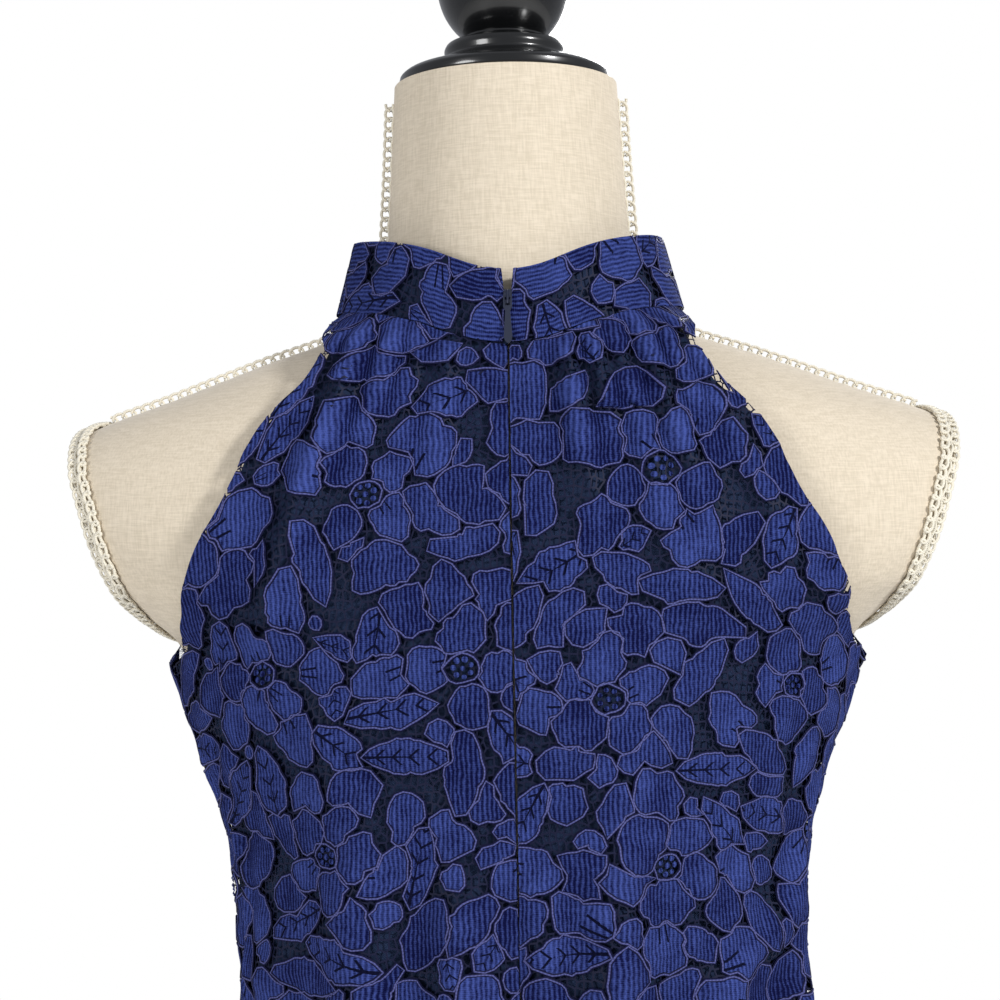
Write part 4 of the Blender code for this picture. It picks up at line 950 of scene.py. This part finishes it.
class HalfMap:
    # one back half: keeps the pattern on its own side of the zip

    def __init__(self, side):
        self.side = side

    def clamp(self, s, t, tLow=0.0, sInset=0.0, tInset=0.0005):
        s2, t2, _ = backMap.clamp(np.maximum(s * self.side, dressShape["zipHalfGap"]), t, tLow, sInset, tInset)
        s2 = s2 * self.side
        return s2, t2, (np.abs(s2 - s) > 1e-7) | (np.abs(t2 - t) > 1e-7)

    def creaseAt(self, s, t):
        return backMap.creaseAt(s, t)

    def lift(self, s, t, height):
        return backMap.lift(s, t, height)


def makeBack(side, word, seed):
    half = HalfMap(side)
    plan = planMotifs(230.0, backHigh * 1000, seed, skirtSides=[(246.0, backMap.sMax.max() * 1000)])
    fills, cords = buildMotifs("lace_back_" + word, half, plan, 100 + seed, [ribFill, leafFill, petalFill], float(side))
    gap = dressShape["zipHalfGap"]
    for pieceName, material, height, tLow, inset, step, columns in (
        ("lace_net_back_" + word, netLook, layerHeight["net"], 0.0, 0.0, 0.004, 73),
        ("lining_back_shell_" + word, liningLook, layerHeight["lining"], dressShape["liningShorter"], 0.0012, 0.006, 49),
    ):
        rows, across = np.arange(0, backHigh + step, step), np.linspace(0, 1, columns)
        reach = np.interp(rows, backMap.t, backMap.sMax) + inset / 2
        s = (gap + (reach[:, None] - gap) * across[None, :]).ravel() * side
        t = np.repeat(rows, len(across))
        s2, t2, _ = half.clamp(s, t, tLow, inset, -0.0012)  # the top runs on under the collar
        points = backMap.lift(s2, t2, np.full(len(s2), height))
        faces = gridFaces(len(rows), len(across))
        a, b, c, d = (points[faces[:, q]] for q in range(4))
        area = np.linalg.norm(np.cross(c - a, d - b), axis=1)
        shell = makeMesh(pieceName, points, faces[area > 2e-9], np.stack([s2, t2], axis=-1), materials=[material])
        faceOut(shell)
        if material is netLook:
            declareCloth(shell, "dress_back_" + word, [fills, cords])
            areaOf(shell) * 1.02
        else:
            declareCloth(shell, "lining_back_" + word, [])
            areaOf(shell)


makeBack(1, "left", 11)
makeBack(-1, "right", 23)
print("backs made")

frontHigh = frontMap.tMax.max()
frontReach = frontMap.sMax.max() * 1000
plan = planMotifs(440.0, frontHigh * 1000, 37, low=-220.0, skirtSides=[(-frontReach, -236.0), (236.0, frontReach)])
fills, cords = buildMotifs("lace_front", frontMap, plan, 137, [ribFill, leafFill, petalFill], coarser=1.3)
netFront = clothShell("lace_net_front", frontMap, netLook, None, None, 128, 0.005, layerHeight["net"], tInset=-0.0012)
liningFront = clothShell("lining_front_shell", frontMap, liningLook, None, None, 72, 0.008, layerHeight["lining"],
                         tLow=dressShape["liningShorter"], sInset=0.0012, tInset=-0.0012)
declareCloth(netFront, "dress_front", [fills, cords])
areaOf(netFront) * 1.02
declareCloth(liningFront, "lining_front", [])
areaOf(liningFront)
print("front made")

plan = planMotifs(collarMap.length * 1000, 31.0, 51)
fills, cords = buildMotifs("lace_collar", collarMap, plan, 151, [ribFillLevel, leafFillLevel, petalFillLevel])
netCollar = clothShell("lace_net_collar", collarMap, netLook, 0.0, collarMap.length, 220, 0.00388, layerHeight["net"])
liningCollar = clothShell("collar_lining_shell", collarMap, liningLook, 0.0, collarMap.length, 160, 0.00388, layerHeight["lining"])
declareCloth(netCollar, "collar", [fills, cords])
declareCloth(liningCollar, "collar_lining", [])
print("collar made")

# ---- the form


def formInside(x, y, z):
    halfWidth, back, front, squareness = sectionAt(formShape["sections"], z)
    depth = np.where(y >= 0, back, front)
    return (np.abs(x) / halfWidth) ** squareness + (np.abs(y) / depth) ** squareness


def plateNormal(side):
    lean, yaw = formShape["plateLean"], formShape["plateYaw"]
    return np.array([side * math.cos(lean) * math.cos(yaw), -math.cos(lean) * math.sin(yaw), -math.sin(lean)])


def linenMaterial():
    # flax linen, plain weave, unbleached: matt, with slubs thicker than the threads round them
    material, tree, shader = newMaterial("wovenNaturalLinen", "d4c7b2", 0.9, Sheen_Weight=0.15, Specular_IOR_Level=0.2)
    place = addNode(tree, "ShaderNodeTexCoord")
    threads = []
    for scale in ((150.0, 150.0, 1500.0), (1300.0, 1300.0, 110.0)):  # the weft runs level and the warp upright
        stretch = addNode(tree, "ShaderNodeMapping", {"Scale": scale}, {0: place.outputs["Object"]})
        threads.append(addNode(tree, "ShaderNodeTexNoise", {"Scale": 1.0, "Detail": 2.0}, {0: stretch.outputs[0]}))
    slub = addNode(tree, "ShaderNodeMath", {"operation": "ADD"}, {0: threads[0].outputs[0], 1: threads[1].outputs[0]})
    tone = addNode(tree, "ShaderNodeMapRange", {"From Min": 0.75, "From Max": 1.25}, {0: slub.outputs[0]})
    mixNode = addNode(tree, "ShaderNodeMix", {"data_type": "RGBA"}, {0: tone.outputs[0]})
    mixNode.inputs[6].default_value = linear("d0c3ad")
    mixNode.inputs[7].default_value = linear("e0d3be")
    tree.links.new(mixNode.outputs[2], shader.inputs["Base Color"])
    bump = addNode(tree, "ShaderNodeBump", {"Strength": 0.5, "Distance": 0.25 * millimetre}, {"Height": slub.outputs[0]})
    tree.links.new(bump.outputs[0], shader.inputs["Normal"])
    return material


def makeTorso():
    heights = np.unique(np.concatenate([
        np.linspace(0.775, 0.80, 8), np.linspace(0.80, 1.24, 56), np.linspace(1.24, 1.40, 72), np.linspace(1.40, 1.489, 16),
    ]))
    columns = 128
    angles = np.arange(columns) * 360.0 / columns
    zGrid, aGrid = np.meshgrid(heights, angles, indexing="ij")
    x, y = onSection(sectionAt(formShape["sections"], zGrid), aGrid)
    for side in (1, -1):
        normal = plateNormal(side)
        point = np.array(formShape["platePoint"]) * [side, 1, 1]
        over = (x - point[0]) * normal[0] + (y - point[1]) * normal[1] + (zGrid - point[2]) * normal[2]
        cut = (over > 0) & (x * side > 0.1)
        x = np.where(cut, x - over / normal[0], x)
    points = np.stack([x, y, zGrid], axis=-1).reshape(-1, 3)
    faces = gridFaces(len(heights), columns, closed=True)
    centre = np.array([[0, 0, heights[0]], [0, 0, heights[-1]]])
    k = np.arange(columns)
    foot = np.stack([(k + 1) % columns, k, np.full(columns, len(points)), np.full(columns, -1)], axis=-1)
    last = (len(heights) - 1) * columns
    head = np.stack([last + k, last + (k + 1) % columns, np.full(columns, len(points) + 1), np.full(columns, -1)], axis=-1)
    around = np.concatenate([np.zeros((len(heights), 1)), np.cumsum(np.hypot(np.diff(x, axis=1), np.diff(y, axis=1)), axis=1)], axis=1)
    up = np.concatenate([np.zeros((1, columns)), np.cumsum(np.sqrt(
        np.diff(x, axis=0) ** 2 + np.diff(y, axis=0) ** 2 + np.diff(zGrid, axis=0) ** 2), axis=0)], axis=0)
    uv = np.vstack([np.stack([around, up], axis=-1).reshape(-1, 2), [[0, 0], [0, 0]]])
    torso = makeMesh("linen_torso", np.vstack([points, centre]), np.vstack([faces, foot, head]), uv, materials=[linenMaterial()])
    faceOut(torso)
    torso.data.set_sharp_from_angle(angle=math.radians(40.0))
    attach(torso, dressBody)
    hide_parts("form_torso")


makeTorso()
print("torso made")

braidLook = {"pitch": 0.0044, "loopAcross": 0.0017, "loopAlong": 0.0018, "cord": 0.00070}


def braidMaterial():
    # mercerised cotton gimp braid, ivory: rounded cords with a soft lustre
    material, tree, shader = newMaterial("ivoryCottonGimp", "ebe4d2", 0.62, Sheen_Weight=0.2, Specular_IOR_Level=0.35)
    uv, parts = grainNodes(tree, "pattern")
    twist = sineOf(tree, parts.outputs[0], 0.8 * millimetre)
    bump = addNode(tree, "ShaderNodeBump", {"Strength": 0.5, "Distance": 0.1 * millimetre}, {"Height": twist.outputs[0]})
    tree.links.new(bump.outputs[0], shader.inputs["Normal"])
    return material


def sweepTube(path, sideways, outward, radius, sides=5):
    # a round cord through points, with the frame given at each point
    turn = np.arange(sides) * math.tau / sides
    ring = (np.cos(turn)[None, :, None] * sideways[:, None, :] + np.sin(turn)[None, :, None] * outward[:, None, :]) * radius
    return (path[:, None, :] + ring).reshape(-1, 3), gridFaces(len(path), sides, closed=True)


def makeBraid(name, line, out, node, rows, core):
    # gimp braid: cords that loop back over themselves in rows of small scrolls, on a plaited core;
    # each row says how far across, how far out and how much it faces sideways
    along = np.append(0, np.cumsum(np.linalg.norm(np.diff(line, axis=0), axis=1)))
    loops = int(along[-1] / braidLook["pitch"])
    dense = np.linspace(0, along[-1], loops * 11 + 1)
    centre = np.stack([np.interp(dense, along, line[:, c]) for c in range(3)], axis=-1)
    normal = np.stack([np.interp(dense, along, out[:, c]) for c in range(3)], axis=-1)
    normal /= np.linalg.norm(normal, axis=1, keepdims=True)
    tangent = np.gradient(centre, axis=0)
    tangent /= np.maximum(np.linalg.norm(tangent, axis=1, keepdims=True), 1e-12)
    across = np.cross(normal, tangent)
    across /= np.maximum(np.linalg.norm(across, axis=1, keepdims=True), 1e-12)
    phase = dense / braidLook["pitch"] * math.tau
    strands = []
    for shift, rise, upright, start in rows:
        swing = braidLook["loopAcross"] * np.cos(phase + start)
        a, b = shift + swing * (1 - upright), braidLook["loopAlong"] * np.sin(phase + start)
        weave = 0.00035 * np.sin(phase + start + 0.8)
        strands.append((a + weave * upright, b, rise + swing * upright + weave * (1 - upright), braidLook["cord"]))
    for shift, rise, start in core:
        strands.append((shift + 0.0004 * np.cos(phase * 0.5 + start), 0 * phase, rise + 0.0003 * np.sin(phase * 0.5 + start), 0.0007))
    points, faces, uv, total = [], [], [], 0
    for a, b, c, radius in strands:
        path = centre + across * a[:, None] + tangent * b[:, None] + normal * c[:, None]
        run = np.gradient(path, axis=0)
        run /= np.maximum(np.linalg.norm(run, axis=1, keepdims=True), 1e-12)
        sideways = np.cross(normal + 0.31 * across, run)
        sideways /= np.maximum(np.linalg.norm(sideways, axis=1, keepdims=True), 1e-12)
        p, f = sweepTube(path, sideways, np.cross(run, sideways), radius)
        points.append(p)
        faces.append(f + total)
        length = np.append(0, np.cumsum(np.linalg.norm(np.diff(path, axis=0), axis=1)))
        uv.append(np.stack([np.repeat(length, 5), np.zeros(len(p))], axis=-1))
        total += len(p)
    braid = makeMesh(name, np.vstack(points), np.vstack(faces), np.vstack(uv), materials=[braidMat])
    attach(braid, dressBody)
    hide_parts(node)
    return len(braid.data.polygons) * 2


braidMat = braidMaterial()


def formGradient(points):
    step = 0.0004
    slopes = [
        formInside(*(points + np.eye(3)[c] * step).T) - formInside(*(points - np.eye(3)[c] * step).T) for c in range(3)
    ]
    slope = np.stack(slopes, axis=-1)
    return slope / np.linalg.norm(slope, axis=1, keepdims=True)


def makeBraids():
    for side, word in ((1, "left"), (-1, "right")):
        heights = np.concatenate([np.linspace(1.483, 1.396, 40), np.linspace(1.3955, 1.3442, 60)])
        reach = sectionAt(formShape["sections"], heights)[0]
        line = np.stack([reach * side, 0 * reach, heights], axis=-1)
        out = formGradient(line + np.array([0, 1e-5, 0]))
        out[:, 1] = 0
        out /= np.linalg.norm(out, axis=1, keepdims=True)
        standing = [(0.0, 0.0022, 1.0, 0.0)]
        count = makeBraid("gimp_shoulder_" + word, line, out, "shoulder_braid_" + word, standing,
                          [(-0.0012, 0.0001, 0.0), (0.0012, 0.0001, 1.0)])
        normal = plateNormal(side)
        point = np.array(formShape["platePoint"]) * [side, 1, 1]
        up = np.array([0, 0, 1]) - normal * normal[2]
        up /= np.linalg.norm(up)
        across = np.cross(normal, up)
        centre = point - up * 0.030
        turn = np.linspace(0, math.tau, 181)
        way = np.cos(turn)[:, None] * up + np.sin(turn)[:, None] * across
        low, high = np.zeros(len(turn)), np.full(len(turn), 0.12)
        for _ in range(34):
            middle = 0.5 * (low + high)
            spot = centre + way * middle[:, None]
            inside = formInside(spot[:, 0], spot[:, 1], spot[:, 2]) < 1
            low, high = np.where(inside, middle, low), np.where(inside, high, middle)
        edge = centre + way * low[:, None]
        out = formGradient(edge)
        inward = -normal + out * (out @ normal)[:, None]
        inward /= np.linalg.norm(inward, axis=1, keepdims=True)
        line = edge + inward * 0.0043
        for _ in range(8):
            miss = (formInside(*line.T) - 1)[:, None] * 0.02
            line = line - out * miss
        lying = [(-0.0025, 0.0019, 0.15, 0.0), (0.0025, 0.0019, 0.15, 1.0)]
        count += makeBraid("gimp_arm_" + word, line, formGradient(line), "arm_braid_" + word, lying,
                           [(-0.0008, 0.0016, 0.0), (0.0008, 0.0016, 3.1), (-0.0030, 0.0010, 0.0), (0.0030, 0.0010, 0.0)])
    print("braids made, triangles on one side", count)


makeBraids()

# ---- turned wood, and the stand


def lacquerMaterial():
    # beech, turned and sprayed with gloss black lacquer: deep black with clear, slightly wavy reflections
    material, tree, shader = newMaterial("lacqueredTurnedBeech", "0a0b0c", 0.22, Coat_Weight=0.6, Coat_Roughness=0.08, IOR=1.5)
    place = addNode(tree, "ShaderNodeTexCoord")
    grain = addNode(tree, "ShaderNodeTexNoise", {"Scale": 60.0, "Detail": 3.0}, {0: place.outputs["Object"]})
    rough = addNode(tree, "ShaderNodeMapRange", {"To Min": 0.16, "To Max": 0.34}, {0: grain.outputs[0]})
    tree.links.new(rough.outputs[0], shader.inputs["Roughness"])
    bump = addNode(tree, "ShaderNodeBump", {"Strength": 0.15, "Distance": 0.2 * millimetre}, {"Height": grain.outputs[0]})
    tree.links.new(bump.outputs[0], shader.inputs["Normal"])
    return material


lacquer = lacquerMaterial()


def turnedPiece(name, profile, steps, node):
    # profile runs from the top of the axis to the foot
    profile = np.array(profile)
    turn = np.arange(steps) * math.tau / steps
    points = np.stack([
        profile[:, :1] * np.cos(turn), profile[:, :1] * np.sin(turn), np.repeat(profile[:, 1:], steps, axis=1),
    ], axis=-1).reshape(-1, 3)
    piece = makeMesh(name, points, gridFaces(len(profile), steps, closed=True), materials=[lacquer])
    edit = bmesh.new()
    edit.from_mesh(piece.data)
    bmesh.ops.remove_doubles(edit, verts=edit.verts, dist=1e-6)
    bmesh.ops.recalc_face_normals(edit, faces=edit.faces)
    edit.to_mesh(piece.data)
    edit.free()
    piece.data.set_sharp_from_angle(angle=math.radians(35.0))
    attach(piece, dressBody)
    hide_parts(node)


def roundTo(points, radius, steps=5):
    # rounds each inner corner of a profile
    out = [points[0]]
    for before, at, after in zip(points, points[1:], points[2:]):
        a, b, c = (np.array(p, float) for p in (before, at, after))
        r1 = min(radius, np.linalg.norm(a - b) * 0.45)
        r2 = min(radius, np.linalg.norm(c - b) * 0.45)
        p, q = b + (a - b) / max(np.linalg.norm(a - b), 1e-9) * r1, b + (c - b) / max(np.linalg.norm(c - b), 1e-9) * r2
        for k in range(steps + 1):
            u = k / steps
            out.append(tuple((1 - u) ** 2 * p + 2 * u * (1 - u) * b + u * u * q))
    out.append(points[-1])
    return out


def makeWood():
    foot = 1.4893
    knobRadius, knobCentre = 0.0292, 1.534
    ball = [(knobRadius * math.cos(a), knobCentre + knobRadius * math.sin(a))
            for a in np.radians(np.linspace(90, -52, 30))]
    ball[0] = (0.0, knobCentre + knobRadius)
    neck = roundTo([
        ball[-1], (0.0182, foot + 0.0205), (0.0255, foot + 0.0185), (0.0268, foot + 0.0160), (0.0262, foot + 0.0125),
        (0.0310, foot + 0.0095), (0.0440, foot + 0.0060), (0.0465, foot + 0.0040), (0.0465, foot + 0.0008),
        (0.0458, foot), (0.0, foot),
    ], 0.0011)
    turnedPiece("lacquered_cap", ball + neck[1:], 72, "form_neck_cap")
    turnedPiece("lacquered_pole", [(0.0, 0.7747), (0.015, 0.7747), (0.015, 0.0243), (0.0, 0.0243)], 48, "form_pole")
    base = roundTo([(0.0, 0.024), (0.030, 0.024), (0.120, 0.020), (0.164, 0.015), (0.172, 0.010), (0.172, 0.0), (0.0, 0.0)], 0.0012)
    turnedPiece("lacquered_base", base, 96, "form_base")


makeWood()

# ---- the zip: finer materials for the tapes, slider and pull


def plainMaterial(name, colour, roughness, **settings):
    material, tree, shader = newMaterial(name, colour, roughness, **settings)
    place = addNode(tree, "ShaderNodeTexCoord")
    speckle = addNode(tree, "ShaderNodeTexNoise", {"Scale": 900.0, "Detail": 2.0}, {0: place.outputs["Object"]})
    bump = addNode(tree, "ShaderNodeBump", {"Strength": 0.2, "Distance": 0.05 * millimetre}, {"Height": speckle.outputs[0]})
    tree.links.new(bump.outputs[0], shader.inputs["Normal"])
    return material


zipTape = plainMaterial("wovenPolyesterTape", "14182e", 0.8)
zipEnamel = plainMaterial("enamelledZipMetal", "3c4256", 0.30, Metallic=0.7, Coat_Weight=0.4)
zipCoil = plainMaterial("mouldedNylonCoil", "20243c", 0.35)


def wear(node, material):
    # a CAD piece whose shape is right takes the finer material
    piece = next(o for o in bpy.data.objects if o.get("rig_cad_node") == node)
    piece.data.materials.clear()
    piece.data.materials.append(material)


for node, material in (("zip_tape_left", zipTape), ("zip_tape_right", zipTape), ("zip_slider", zipEnamel), ("zip_pull", zipEnamel)):
    wear(node, material)
print("zip made")

# ---- stage, lights and camera

stageLook = {"floor": "f4f3f0", "size": 3.0, "skyLight": 0.38}
cameraSet = {"distance": 0.800, "height": 1.308, "view": 0.440, "sensor": 36.0, "roll": 1.15, "aside": -0.0108, "pan": 1.21}


def makeStage():
    mesh = bpy.data.meshes.new("studio_floor")
    edit = bmesh.new()
    bmesh.ops.create_grid(edit, x_segments=1, y_segments=1, size=stageLook["size"])
    edit.to_mesh(mesh)
    edit.free()
    floor = bpy.data.objects.new("studio_floor", mesh)
    material, tree, shader = newMaterial("paintedPaleFloor", stageLook["floor"], 0.85)
    mesh.materials.append(material)
    bpy.context.scene.collection.objects.link(floor)
    world = bpy.data.worlds.new("studio")
    world.use_nodes = True
    tree = world.node_tree
    tree.nodes["Background"].inputs[1].default_value = stageLook["skyLight"]
    tree.nodes["Background"].inputs[0].default_value = linear("f4f7ff")
    seen = addNode(tree, "ShaderNodeBackground", {"Color": (1.0, 1.0, 1.0, 1.0), "Strength": 1.0})
    ray = addNode(tree, "ShaderNodeLightPath")
    addNode(tree, "ShaderNodeMixShader", None,
            {0: ray.outputs["Is Camera Ray"], 1: tree.nodes["Background"].outputs[0], 2: seen.outputs[0]})
    tree.links.new(tree.nodes[-1].outputs[0], tree.nodes["World Output"].inputs[0])
    bpy.context.scene.world = world
    bpy.context.scene.view_settings.view_transform = "Standard"


def areaLight(name, place, target, size, power, colour="ffffff"):
    data = bpy.data.lights.new(name, "AREA")
    data.shape = "DISK"
    data.size, data.energy, data.color = size, power, linear(colour)[:3]
    light = bpy.data.objects.new(name, data)
    light.location = place
    light.rotation_euler = (Vector(target) - Vector(place)).to_track_quat("-Z", "Y").to_euler()
    bpy.context.scene.collection.objects.link(light)


def makeLights():
    areaLight("window", (-2.1, 1.7, 2.5), (0, 0, 1.25), 0.45, 67.0)
    areaLight("fill", (1.7, 1.9, 1.5), (0, 0, 1.2), 1.0, 26.0)
    areaLight("front_soft", (-0.8, -2.4, 2.2), (0, 0, 1.0), 1.4, 34.0)


def makeCamera():
    # behind the form at bust height; "view" is the width seen at the form's own distance
    data = bpy.data.cameras.new("camera")
    data.sensor_width = cameraSet["sensor"]
    data.lens = cameraSet["sensor"] * cameraSet["distance"] / cameraSet["view"]
    data.clip_start, data.clip_end = 0.05, 50
    camera = bpy.data.objects.new("camera", data)
    pan = math.radians(cameraSet["pan"])
    turn = Vector((math.sin(pan), -math.cos(pan), 0)).to_track_quat("-Z", "Y").to_matrix().to_4x4()
    place = Matrix.Translation((cameraSet["aside"], cameraSet["distance"], cameraSet["height"]))
    camera.matrix_world = place @ turn @ Matrix.Rotation(math.radians(-cameraSet["roll"]), 4, "Z")
    bpy.context.scene.collection.objects.link(camera)
    bpy.context.scene.camera = camera


makeStage()
makeLights()
makeCamera()
